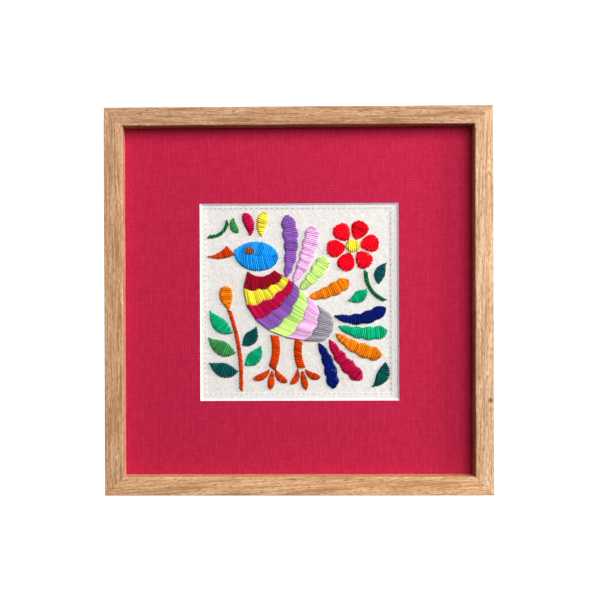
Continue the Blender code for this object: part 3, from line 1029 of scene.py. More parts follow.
# The picture's patches: name, thread, base, tip, bend, width, outline and scallops.
PATCHES = (
    Patch("head", Thread.SKY_BLUE, (-13.5, 29.5), (-41.0, 32.3), 0.05, 19.5, Outline.OVAL),
    Patch("beak", Thread.RUST, (-44.3, 33.4), (-58.5, 29.5), 0.10, 8.0, Outline.THORN),
    Patch("crest_1", Thread.CRIMSON, (-31.0, 43.6), (-35.5, 57.5), -0.10, 8.0, Outline.PETAL),
    Patch("crest_2", Thread.YELLOW, (-23.5, 43.0), (-21.0, 58.0), 0.10, 8.0, Outline.PETAL),
    Patch("wing_1", Thread.PURPLE, (-8.0, 15.5), (-7.5, 56.0), -0.08, 13.0, Outline.FEATHER, 5),
    Patch("wing_2", Thread.PINK, (-3.0, 12.5), (10.0, 49.0), -0.06, 13.0, Outline.FEATHER, 5),
    Patch("wing_3", Thread.LIME, (1.5, 8.0), (18.0, 28.5), -0.06, 12.0, Outline.FEATHER, 4),
    Patch("wing_4", Thread.ORANGE, (7.4, 2.6), (33.0, 13.4), -0.06, 11.5, Outline.FEATHER, 4),
    Patch("tail_1", Thread.NAVY, (24.4, -9.8), (57.0, -4.5), -0.14, 11.0, Outline.FEATHER, 4),
    Patch("tail_2", Thread.EMERALD, (27.0, -16.6), (58.0, -19.5), -0.10, 11.5, Outline.FEATHER, 4),
    Patch("tail_3", Thread.ORANGE, (25.0, -21.5), (54.5, -35.5), -0.08, 12.0, Outline.FEATHER, 4),
    Patch("tail_4", Thread.CRIMSON, (20.7, -25.6), (41.5, -51.0), -0.06, 12.0, Outline.FEATHER, 4),
    Patch("tail_5", Thread.NAVY, (13.6, -27.8), (23.0, -57.0), 0.06, 11.0, Outline.FEATHER, 4),
    Patch("leg_1", Thread.RUST, (-15.5, -22.8), (-17.0, -43.3), 0.08, 5.4, Outline.STEM),
    Patch("toe_1", Thread.RUST, (-19.2, -45.0), (-29.0, -50.5), 0.15, 5.2, Outline.PETAL),
    Patch("toe_2", Thread.RUST, (-17.2, -46.2), (-18.2, -57.5), 0.00, 5.2, Outline.PETAL),
    Patch("toe_3", Thread.RUST, (-14.7, -45.0), (-7.4, -52.6), -0.15, 5.2, Outline.PETAL),
    Patch("leg_2", Thread.RUST, (0.5, -26.0), (2.0, -43.3), -0.08, 5.4, Outline.STEM),
    Patch("toe_4", Thread.RUST, (-0.4, -44.9), (-4.6, -54.0), 0.15, 4.6, Outline.PETAL),
    Patch("toe_5", Thread.RUST, (2.6, -46.2), (5.0, -57.5), 0.00, 5.2, Outline.PETAL),
    Patch("toe_6", Thread.RUST, (5.0, -45.0), (14.2, -49.8), -0.15, 5.2, Outline.PETAL),
    Patch("flower_stem", Thread.STEM_GREEN, (56.5, 0.5), (44.5, 19.0), 0.16, 2.6, Outline.STEM),
    Patch("flower_leaf_1", Thread.EMERALD, (44.6, 7.4), (33.5, 0.5), 0.12, 8.0, Outline.LEAF),
    Patch("flower_leaf_2", Thread.TEAL, (53.0, 11.5), (57.5, 24.5), 0.12, 7.5, Outline.LEAF),
    Patch("plant_stem", Thread.RUST, (-37.5, -57.5), (-45.0, -6.0), -0.05, 2.6, Outline.STEM),
    Patch("plant_leaf_1", Thread.TEAL, (-39.9, -46.0), (-58.0, -40.5), 0.10, 10.0, Outline.LEAF),
    Patch("plant_leaf_2", Thread.EMERALD, (-34.6, -41.5), (-24.5, -29.5), -0.10, 9.0, Outline.LEAF),
    Patch("plant_leaf_3", Thread.GREEN, (-41.3, -33.5), (-58.5, -24.0), 0.10, 10.0, Outline.LEAF),
    Patch("plant_leaf_4", Thread.TEAL, (-36.2, -28.5), (-27.5, -17.0), -0.10, 9.0, Outline.LEAF),
    Patch("plant_leaf_5", Thread.EMERALD, (-43.5, -20.5), (-57.5, -6.5), 0.10, 9.5, Outline.LEAF),
    Patch("plant_bud", Thread.ORANGE, (-45.3, -4.4), (-47.5, 10.0), 0.05, 10.0, Outline.PETAL),
    Patch("corner_stem", Thread.STEM_GREEN, (-58.0, 42.5), (-46.2, 51.8), -0.20, 2.4, Outline.STEM),
    Patch("corner_bud", Thread.GREEN, (-42.0, 54.4), (-39.0, 45.5), -0.20, 5.6, Outline.PETAL),
    Patch("low_leaf_1", Thread.TEAL, (57.0, -40.5), (48.8, -56.0), 0.14, 8.5, Outline.LEAF),
)


@dataclass
class Embroidery:
    """Satin stitching: rows of floss laid side by side over the ground cloth.

    Neighbouring stitches slant a little to opposite sides, as closed herringbone does, and every
    other one lies on top, which gives the patches their combed edges and clear grooves. The lower
    stitches are also painted darker, as painted shade in the grooves, and the upper ones lighter, as
    painted light.
    """

    # The floss lies flat. It is drawn 0.86 mm wide, coarser than real floss, so that it shows.
    radius: float = 0.43 * MM
    flatness: float = 0.82
    # How far a stitch goes under the cloth at its ends, and how far the upper ones stand out.
    sink: float = 0.9 * MM
    over: float = 0.38 * MM
    # How far a stitch strays, and how much of that shows along the row and upwards.
    waver: float = 0.26 * MM
    waver_scale: float = 0.41
    waver_aside: float = 3.0
    waver_up: float = 2.5
    rim: float = 0.25 * MM
    crown: float = 0.55 * MM
    ragged: float = 0.12 * MM
    under_reach: float = 0.15 * MM
    # A row narrower than this slants less and less.
    slant_width: float = 5 * MM
    inset_most: float = 0.45
    # The lower stitches' tone, which is painted shade in the grooves, what the upper ones have more,
    # which is painted light, and what chance adds, a random tone of each stitch's own.
    tone: tuple[float, float, float] = (0.10, 0.5, 0.40)
    thickness_chance: float = 0.10
    steps: int = 10
    sides: int = 6
    seed: int = 11
    eye_centre: tuple[float, float] = (-0.0315, 0.0330)
    eye_radius: float = 0.0030
    eye_sink: float = 0.1 * MM
    tool: GeometryTool = field(init=False)

    def __post_init__(self) -> None:
        """Build the stitching tree."""
        self.tool = self._satin_tree()

    def _satin_tree(self) -> GeometryTool:
        """Build the tree that lays stitches between a guide's two edges.

        Returns:
            The tool, with its named inputs.
        """
        tool = GeometryTool("satin_stitch")
        pitch = tool.take("Pitch")
        radius = tool.take("Radius")
        flatness = tool.take("Flatness")
        base = tool.take("Base")
        rise = tool.take("Rise")
        slope = tool.take("Slope")
        lean = tool.take("Lean")
        crossed = tool.take("Crossed")
        over = tool.take("Over")
        ragged = tool.take("Ragged")
        inset = tool.take("Inset")
        waver = tool.take("Waver")
        steps = tool.take("Steps", "NodeSocketInt")
        sides = tool.take("Sides", "NodeSocketInt")
        seed = tool.take("Seed", "NodeSocketInt")
        material = tool.take("Material", "NodeSocketMaterial")

        line = tool.node("GeometryNodeMeshToCurve", {0: tool.entry.outputs["Geometry"]}).outputs[0]
        spaced = tool.node(
            "GeometryNodeResampleCurve", {"Curve": line, "Length": pitch}, mode="LENGTH"
        ).outputs[0]
        needles = tool.node("GeometryNodeCurveToPoints", {"Curve": spaced}, mode="EVALUATED")
        headed = tool.node(
            "GeometryNodeStoreNamedAttribute",
            {
                "Geometry": needles.outputs["Points"],
                "Name": "heading",
                "Value": needles.outputs["Tangent"],
            },
            data_type="FLOAT_VECTOR",
        ).outputs[0]
        index = tool.node("GeometryNodeInputIndex").outputs[0]
        numbered = tool.node(
            "GeometryNodeStoreNamedAttribute",
            {"Geometry": headed, "Name": "stitch", "Value": index},
            data_type="INT",
        ).outputs[0]
        copies = tool.node("ShaderNodeMath", {0: steps, 1: 1.0}, operation="ADD").outputs[0]
        laid = tool.node(
            "GeometryNodeDuplicateElements", {"Geometry": numbered, "Amount": copies}, domain="POINT"
        )
        stitch = self._read(tool, "stitch", "INT")
        left = self._read(tool, "left", "FLOAT_VECTOR")
        right = self._read(tool, "right", "FLOAT_VECTOR")
        heading = self._read(tool, "heading", "FLOAT_VECTOR")

        share = tool.node(
            "ShaderNodeMath", {0: laid.outputs["Duplicate Index"], 1: steps}, operation="DIVIDE"
        ).outputs[0]
        angle = tool.node("ShaderNodeMath", {0: share, 1: math.pi}, operation="MULTIPLY").outputs[0]
        cosine = tool.node("ShaderNodeMath", {0: angle}, operation="COSINE").outputs[0]
        swing = tool.node("ShaderNodeMath", {0: cosine, 1: -1.0}, operation="MULTIPLY").outputs[0]
        eased = tool.node(
            "ShaderNodeMath", {0: swing, 1: 0.5, 2: 0.5}, operation="MULTIPLY_ADD"
        ).outputs[0]

        span = tool.node("ShaderNodeVectorMath", {0: right, 1: left}, operation="SUBTRACT").outputs[0]
        width = tool.node("ShaderNodeVectorMath", {0: span}, operation="LENGTH").outputs["Value"]
        across = tool.node("ShaderNodeVectorMath", {0: span}, operation="NORMALIZE").outputs[0]
        straight = tool.node(
            "ShaderNodeMix", {0: eased, 4: left, 5: right}, data_type="VECTOR"
        ).outputs[1]

        odd = tool.node("ShaderNodeMath", {0: stitch, 1: 2.0}, operation="MODULO").outputs[0]
        sign = tool.node(
            "ShaderNodeMath", {0: odd, 1: -2.0, 2: 1.0}, operation="MULTIPLY_ADD"
        ).outputs[0]
        narrowing = tool.node(
            "ShaderNodeMapRange", {0: width, 1: 0.0, 2: self.slant_width, 3: 0.0, 4: 1.0}
        ).outputs[0]
        narrowed = tool.node("ShaderNodeMath", {0: sign, 1: narrowing}, operation="MULTIPLY").outputs[0]
        way = tool.node("ShaderNodeMix", {0: crossed, 2: 1.0, 3: narrowed}, data_type="FLOAT").outputs[0]
        own_lean = tool.node("ShaderNodeMath", {0: way, 1: lean}, operation="MULTIPLY").outputs[0]
        shear = tool.node("ShaderNodeMath", {0: own_lean, 1: swing}, operation="MULTIPLY").outputs[0]
        millimetres = tool.node("ShaderNodeMath", {0: width, 1: 1 / MM}, operation="MULTIPLY").outputs[0]
        along = tool.node("ShaderNodeMath", {0: share, 1: millimetres}, operation="MULTIPLY").outputs[0]
        spot = tool.node("ShaderNodeCombineXYZ", {0: along, 1: stitch, 2: seed}).outputs[0]
        rough = tool.node(
            "ShaderNodeTexNoise", {"Vector": spot, "Scale": self.waver_scale, "Detail": 1.0}
        ).outputs["Color"]
        centred = tool.node(
            "ShaderNodeVectorMath", {0: rough, 1: (0.5, 0.5, 0.5)}, operation="SUBTRACT"
        ).outputs[0]
        strayed = tool.node(
            "ShaderNodeVectorMath", {0: centred, "Scale": waver}, operation="SCALE"
        ).outputs[0]
        stray = tool.node("ShaderNodeSeparateXYZ", {0: strayed})
        aside = tool.node(
            "ShaderNodeMath",
            {0: stray.outputs[0], 1: self.waver_aside, 2: shear},
            operation="MULTIPLY_ADD",
        ).outputs[0]
        sheared = tool.node(
            "ShaderNodeVectorMath", {0: heading, "Scale": aside}, operation="SCALE"
        ).outputs[0]

        start_slip = self._chance(tool, stitch, seed, 1)
        end_slip = self._chance(tool, stitch, seed, 2)
        slip = tool.node(
            "ShaderNodeMix", {0: eased, 2: start_slip, 3: end_slip}, data_type="FLOAT"
        ).outputs[0]
        slip_length = tool.node("ShaderNodeMath", {0: slip, 1: ragged}, operation="MULTIPLY").outputs[0]
        half_width = tool.node(
            "ShaderNodeMath", {0: width, 1: self.inset_most}, operation="MULTIPLY"
        ).outputs[0]
        drawn_in = tool.node("ShaderNodeMath", {0: inset, 1: half_width}, operation="MINIMUM").outputs[0]
        under = tool.node("ShaderNodeMath", {0: 1.0, 1: odd}, operation="SUBTRACT").outputs[0]
        spread = tool.node(
            "ShaderNodeMath",
            {0: under, 1: self.under_reach, 2: slip_length},
            operation="MULTIPLY_ADD",
        ).outputs[0]
        kept = tool.node("ShaderNodeMath", {0: spread, 1: drawn_in}, operation="SUBTRACT").outputs[0]
        outward = tool.node("ShaderNodeMath", {0: kept, 1: swing}, operation="MULTIPLY").outputs[0]
        slipped = tool.node(
            "ShaderNodeVectorMath", {0: across, "Scale": outward}, operation="SCALE"
        ).outputs[0]

        sloped = tool.node("ShaderNodeMath", {0: width, 1: slope}, operation="MULTIPLY").outputs[0]
        crest = tool.node("ShaderNodeMath", {0: sloped, 1: rise}, operation="MINIMUM").outputs[0]
        eighth = tool.node("ShaderNodeMath", {0: swing, 1: 8.0}, operation="POWER").outputs[0]
        arch = tool.node("ShaderNodeMath", {0: 1.0, 1: eighth}, operation="SUBTRACT").outputs[0]
        root = tool.node("ShaderNodeMath", {0: arch, 1: 0.5}, operation="POWER").outputs[0]
        height = tool.node(
            "ShaderNodeMath", {0: crest, 1: root, 2: base}, operation="MULTIPLY_ADD"
        ).outputs[0]
        on_top = tool.node("ShaderNodeMath", {0: odd, 1: over}, operation="MULTIPLY").outputs[0]
        loose = tool.node(
            "ShaderNodeMath",
            {0: stray.outputs[1], 1: self.waver_up, 2: on_top},
            operation="MULTIPLY_ADD",
        ).outputs[0]
        raised = tool.node(
            "ShaderNodeMath", {0: loose, 1: root, 2: height}, operation="MULTIPLY_ADD"
        ).outputs[0]
        lifted = tool.node("ShaderNodeCombineXYZ", {2: raised}).outputs[0]

        place = straight
        for part in (sheared, slipped, lifted):
            place = tool.node("ShaderNodeVectorMath", {0: place, 1: part}, operation="ADD").outputs[0]
        placed = tool.node(
            "GeometryNodeSetPosition", {"Geometry": laid.outputs["Geometry"], "Position": place}
        ).outputs[0]
        # Lower stitches get painted shade and upper ones painted light, and chance adds a random tone.
        lower_painted_shade, upper_painted_light, chance_more = self.tone
        painted_row_shade = tool.node(
            "ShaderNodeMath", {0: odd, 1: upper_painted_light, 2: lower_painted_shade}, operation="MULTIPLY_ADD"
        ).outputs[0]
        shade_and_own_tone = tool.node(
            "ShaderNodeMath",
            {0: self._chance(tool, stitch, seed, 4), 1: chance_more, 2: painted_row_shade},
            operation="MULTIPLY_ADD",
        ).outputs[0]
        toned = tool.node(
            "GeometryNodeStoreNamedAttribute",
            {"Geometry": placed, "Name": "tone", "Value": shade_and_own_tone},
            data_type="FLOAT",
        ).outputs[0]
        curves = tool.node(
            "GeometryNodePointsToCurves",
            {"Points": toned, "Curve Group ID": stitch, "Weight": laid.outputs["Duplicate Index"]},
        ).outputs[0]
        upright = tool.node("GeometryNodeSetCurveNormal", {"Curve": curves}, mode="Z_UP").outputs[0]
        spline = tool.node("GeometryNodeSplineParameter")
        measured = tool.node(
            "GeometryNodeStoreNamedAttribute",
            {"Geometry": upright, "Name": "thread_run", "Value": spline.outputs["Length"]},
            data_type="FLOAT",
        ).outputs[0]
        ring = tool.node(
            "GeometryNodeCurvePrimitiveCircle", {"Resolution": sides, "Radius": radius}, mode="RADIUS"
        ).outputs[0]
        rounded = tool.node(
            "GeometryNodeStoreNamedAttribute",
            {"Geometry": ring, "Name": "thread_round", "Value": spline.outputs["Factor"]},
            data_type="FLOAT",
        ).outputs[0]
        flat = tool.node(
            "GeometryNodeTransform",
            {
                "Geometry": rounded,
                "Scale": tool.node(
                    "ShaderNodeCombineXYZ", {0: 1.0, 1: flatness, 2: 1.0}
                ).outputs[0],
            },
        ).outputs[0]
        bead = tool.node(
            "ShaderNodeMath",
            {0: self._chance(tool, stitch, seed, 5), 1: self.thickness_chance, 2: 1.0},
            operation="MULTIPLY_ADD",
        ).outputs[0]
        threads = tool.node(
            "GeometryNodeCurveToMesh",
            {"Curve": measured, "Profile Curve": flat, "Scale": bead, "Fill Caps": True},
        ).outputs[0]
        smooth = tool.node("GeometryNodeSetShadeSmooth", {"Geometry": threads}).outputs[0]
        tool.end(smooth, material)
        return tool

    def _read(self, tool: GeometryTool, name: str, kind: str) -> bpy.types.NodeSocket:
        """The value of a named attribute."""
        return tool.node("GeometryNodeInputNamedAttribute", {"Name": name}, data_type=kind).outputs[0]

    def _chance(
        self,
        tool: GeometryTool,
        stitch: bpy.types.NodeSocket,
        seed: bpy.types.NodeSocket,
        draw: int,
    ) -> bpy.types.NodeSocket:
        """A seeded random number from -1 to 1 for each stitch, another for each draw."""
        own_seed = tool.node("ShaderNodeMath", {0: seed, 1: float(draw)}, operation="ADD").outputs[0]
        return tool.node(
            "FunctionNodeRandomValue", {2: -1.0, 3: 1.0, 7: stitch, 8: own_seed}, data_type="FLOAT"
        ).outputs[1]

    def guides(self) -> list[Guide]:
        """Lay out the whole picture.

        Returns:
            The guide of every patch, the bird's eye last.
        """
        rows = [patch.guide() for patch in (*PATCHES, *Flower().patches())]
        rows += BirdBody().guides()
        east = (self.eye_centre[0] + self.eye_radius) / MM
        west = (self.eye_centre[0] - self.eye_radius) / MM
        level = self.eye_centre[1] / MM
        wide = 2 * self.eye_radius / MM
        ends = ((west, level), (east, level))
        eye = Patch("bird_eye", Thread.BROWN, *ends, 0.0, wide, Outline.OVAL).guide()
        head_crown = STITCH_BASE + self.rim + self.crown
        eye_base = head_crown - self.eye_sink
        rows.append(Guide(eye.name, eye.thread, eye.left, eye.right, base=eye_base))
        return rows

    def build(self) -> list[bpy.types.Object]:
        """Stitch every patch.

        Returns:
            The stitched pieces, one for each patch.
        """
        finishes = {
            thread: ThreadFinish(
                f"{thread.name.lower()}_mercerised_cotton_floss", thread.value
            ).build()
            for thread in Thread
        }
        pieces = []
        for number, guide in enumerate(self.guides()):
            half_thick = self.radius * self.flatness
            top = self.rim + self.crown - half_thick - self.over / 2
            mesh = self.tool.run(
                guide.name,
                guide.mesh(),
                pitch=guide.pitch,
                radius=self.radius,
                flatness=self.flatness,
                base=guide.base - self.sink,
                rise=top + self.sink,
                slope=1.0,
                lean=guide.lean,
                crossed=1.0 if guide.crossed else 0.0,
                over=self.over,
                ragged=self.ragged,
                inset=guide.inset,
                waver=self.waver,
                steps=self.steps,
                sides=self.sides,
                seed=self.seed + 10 * number,
                material=finishes[guide.thread],
            )
            piece = new_piece(guide.name.replace("stitched", "satin"), mesh)
            seat(piece, guide.thread.slot, guide.name)
            pieces.append(piece)
        return pieces


@dataclass
class GroundCloth:
    """The cotton square that is embroidered.

    It is puckered and drawn down by the stitching, finely creased, and its hem is turned back and
    sewn down. The hem's stitches are about twice as large as real ones, so that they show.
    """

    side: float = CLOTH_SIDE
    cell: float = 0.90 * MM
    thick: float = 0.5 * MM
    hem_extra: float = 0.5 * MM
    pucker: float = 0.12 * MM
    crumple: float = 0.34 * MM
    hem_rise: float = 0.12 * MM
    hem_seam: float = 8.2 * MM
    hem_spacing: float = 3.4 * MM
    hem_stitch: tuple[float, float, float] = (2.0 * MM, 0.50 * MM, 0.36 * MM)
    hem_sink: float = 0.15
    pull: float = 0.18 * MM
    pull_reach: float = 1.6 * MM
    # Each broad ripple's waves a metre along x and y, its start and its strength.
    ripples: tuple[tuple[float, float, float, float], ...] = (
        (210, 60, 0.6, 1.0),
        (-90, 260, 2.1, 1.0),
        (330, -240, 4.0, 0.7),
    )
    # How much of the creases the doubled hem takes away, and how far it stands over them.
    hem_crease: float = 0.7
    hem_over: float = 0.3

    def _pucker(self, x: np.ndarray, y: np.ndarray) -> np.ndarray:
        """Work out the broad ripples, as deep as the cloth's solid has them, none at the hem.

        Args:
            x: Places across.
            y: Places up.

        Returns:
            How far the cloth dips at each place.
        """
        waves = sum(w * np.sin(a * x + b * y + start) for a, b, start, w in self.ripples)
        inner = self.side / 2 - HEM_WIDTH
        reach = np.maximum(abs(x), abs(y)) / inner
        fade = np.clip(1.0 - reach**6, 0.0, 1.0)
        return self.pucker * fade * (1.0 + waves / sum(ripple[3] for ripple in self.ripples))

    def _crumple(self, x: float, y: float) -> float:
        """Work out the fine creases: upright, level and slanting ones, each longer than wide.

        Args:
            x: The place across.
            y: The place up.

        Returns:
            Their depth there, from 0 to 1.
        """
        upright = Vector((x / (3.0 * MM), y / (6.0 * MM), 0.3))
        level = Vector((x / (8.0 * MM), y / (3.2 * MM), 5.1))
        slanting = Vector(((x + 0.7 * y) / (3.4 * MM), (y - 0.7 * x) / (12.0 * MM), 9.7))
        crossing = 0.25 * noise.noise(level) + 0.25 * noise.noise(slanting)
        return min(1.0, max(0.0, 0.5 + 0.30 * noise.noise(upright) + crossing))

    def _pull(self, x: np.ndarray, y: np.ndarray, guides: Iterable[Guide]) -> np.ndarray:
        """Work out how far the stitching draws the cloth down beside each patch.

        Args:
            x: Places across.
            y: Places up.
            guides: The patches.

        Returns:
            The depth at each place.
        """
        edges = np.array([(p.x, p.y) for g in guides for side in (g.left, g.right) for p in side])
        nearest = np.full(x.shape, np.inf)
        for start in range(0, len(edges), 256):
            group = edges[start : start + 256]
            gap = np.hypot(x[:, None] - group[:, 0], y[:, None] - group[:, 1]).min(axis=1)
            nearest = np.minimum(nearest, gap)
        return self.pull * np.exp(-nearest / self.pull_reach)

    def _hem_tree(self) -> GeometryTool:
        """Build the tree that runs stitches along a line.

        Returns:
            The tool, with its named inputs.
        """
        tool = GeometryTool("running_stitch")
        spacing = tool.take("Spacing")
        size = tool.take("Size", "NodeSocketVector")
        material = tool.take("Material", "NodeSocketMaterial")
        line = tool.node("GeometryNodeMeshToCurve", {0: tool.entry.outputs["Geometry"]}).outputs[0]
        spaced = tool.node(
            "GeometryNodeResampleCurve", {"Curve": line, "Length": spacing}, mode="LENGTH"
        ).outputs[0]
        needles = tool.node("GeometryNodeCurveToPoints", {"Curve": spaced}, mode="EVALUATED")
        bead = tool.node(
            "GeometryNodeMeshUVSphere", {"Segments": 6, "Rings": 4, "Radius": 0.5}
        ).outputs[0]
        smooth = tool.node("GeometryNodeSetShadeSmooth", {"Geometry": bead}).outputs[0]
        along = tool.node(
            "FunctionNodeAlignRotationToVector", {"Vector": needles.outputs["Tangent"]}, axis="X"
        ).outputs[0]
        laid = tool.node(
            "GeometryNodeInstanceOnPoints",
            {
                "Points": needles.outputs["Points"],
                "Instance": smooth,
                "Rotation": along,
                "Scale": size,
            },
        ).outputs[0]
        tool.end(laid, material)
        return tool

    def build_hem(self) -> bpy.types.Object:
        """Sew the hem down with a running stitch.

        Returns:
            The row of stitches, all round.
        """
        reach = self.side / 2 - self.hem_seam
        level = CLOTH_TOP + self.hem_rise - self.hem_sink * self.crumple
        corners = [(a * reach, b * reach, level) for a, b in ((-1, -1), (1, -1), (1, 1), (-1, 1))]
        guide = bpy.data.meshes.new("hem_line")
        guide.from_pydata(corners, [(0, 1), (1, 2), (2, 3), (3, 0)], [])
        mesh = self._hem_tree().run(
            "hem_stitches",
            guide,
            spacing=self.hem_spacing,
            size=self.hem_stitch,
            material=ThreadFinish("undyed_cotton_sewing_thread", "#D9D2C9").build(),
        )
        stitches = new_piece("hem_stitches", mesh)
        seat(stitches, "cotton")
        return stitches

    def build(self, guides: Sequence[Guide]) -> bpy.types.Object:
        """Make the cloth.

        Args:
            guides: The patches that are stitched into it.

        Returns:
            The finished sheet.
        """
        cells = round(self.side / self.cell)
        shape = bmesh.new()
        bmesh.ops.create_grid(shape, x_segments=cells, y_segments=cells, size=self.side / 2)
        shape.verts.ensure_lookup_table()
        x = np.array([v.co.x for v in shape.verts])
        y = np.array([v.co.y for v in shape.verts])
        creases = np.array([self._crumple(a, b) for a, b in zip(x, y)])
        inner = self.side / 2 - HEM_WIDTH
        reach = np.maximum(abs(x), abs(y))
        turned_back = np.clip((reach - inner) / self.cell, 0.0, 1.0)
        free = 1.0 - self.hem_crease * turned_back
        down = self._pucker(x, y) + self.crumple * creases * free + self._pull(x, y, guides)
        down -= (self.hem_rise + self.hem_over * self.crumple) * turned_back
        for vert, drop in zip(shape.verts, down):
            vert.co.z = CLOTH_TOP - drop
        mesh = bpy.data.meshes.new("cotton_cloth")
        shape.to_mesh(mesh)
        shape.free()
        if mesh.polygons[0].normal.z < 0:
            mesh.flip_normals()
        mesh.shade_smooth()
        cloth = new_piece("cotton_cloth", mesh, CottonFinish().build())
        hem = cloth.vertex_groups.new(name="hem")
        hem.add([i for i, r in enumerate(reach) if r > inner], 1.0, "REPLACE")
        layers = cloth.modifiers.new("layers", "SOLIDIFY")
        layers.thickness = self.thick + self.hem_extra
        layers.offset = -1.0
        layers.vertex_group = "hem"
        layers.thickness_vertex_group = self.thick / layers.thickness
        seat(cloth, "cotton", "embroidered_cloth")
        return cloth


@dataclass
class MatBoard:
    """The mat: crimson paper on a white core, with a bevel-cut window."""

    side: float = FRAME_SIDE - 2 * (RAIL_WIDTH - REBATE_WIDTH) - 2 * FIT_GAP
    paper: float = 0.10 * MM

    def build(self) -> bpy.types.Object:
        """Make the mat.

        Returns:
            The finished board.
        """
        half = self.side / 2
        low = MAT_FACE - MAT_THICK
        under_paper = MAT_FACE - self.paper
        paper_run = BEVEL_RUN * self.paper / MAT_THICK
        wide = WINDOW_WIDE / 2
        high = WINDOW_HIGH / 2
        middle = (0.0, 0.0)
        loops = (
            (middle, half, half, low),
            (middle, half, half, under_paper),
            (middle, half, half, MAT_FACE),
            (WINDOW_CENTRE, wide, high, MAT_FACE),
            (WINDOW_CENTRE, wide - paper_run, high - paper_run, under_paper),
            (WINDOW_CENTRE, wide - BEVEL_RUN, high - BEVEL_RUN, low),
        )
        core, paper = 0, 1
        # The paper covers the face and turns over its outer edge. The bevel below it is white core.
        finish = (core, paper, paper, paper, core, core)
        shape = bmesh.new()
        corners = ((-1, -1), (1, -1), (1, 1), (-1, 1))
        rings = [
            [shape.verts.new((x + side_x * a, y + side_y * b, z)) for side_x, side_y in corners]
            for (x, y), a, b, z in loops
        ]
        for number, ring in enumerate(rings):
            following = rings[(number + 1) % len(rings)]
            for near in range(4):
                far = (near + 1) % 4
                face = shape.faces.new((ring[near], ring[far], following[far], following[near]))
                face.material_index = finish[number]
        bmesh.ops.recalc_face_normals(shape, faces=shape.faces)
        mesh = bpy.data.meshes.new("linen_mat")
        shape.to_mesh(mesh)
        shape.free()
        # The core's blue tint is a painted cool cast, standing for the light in its shaded bevels.
        white = BoardFinish("white_pulp_core", "#EEF3FF", "#E4E9F6").build()
        mat = new_piece("linen_mat", mesh, white, LinenPaperFinish().build())
        seat(mat, "crimson_board", "mat_board")
        return mat


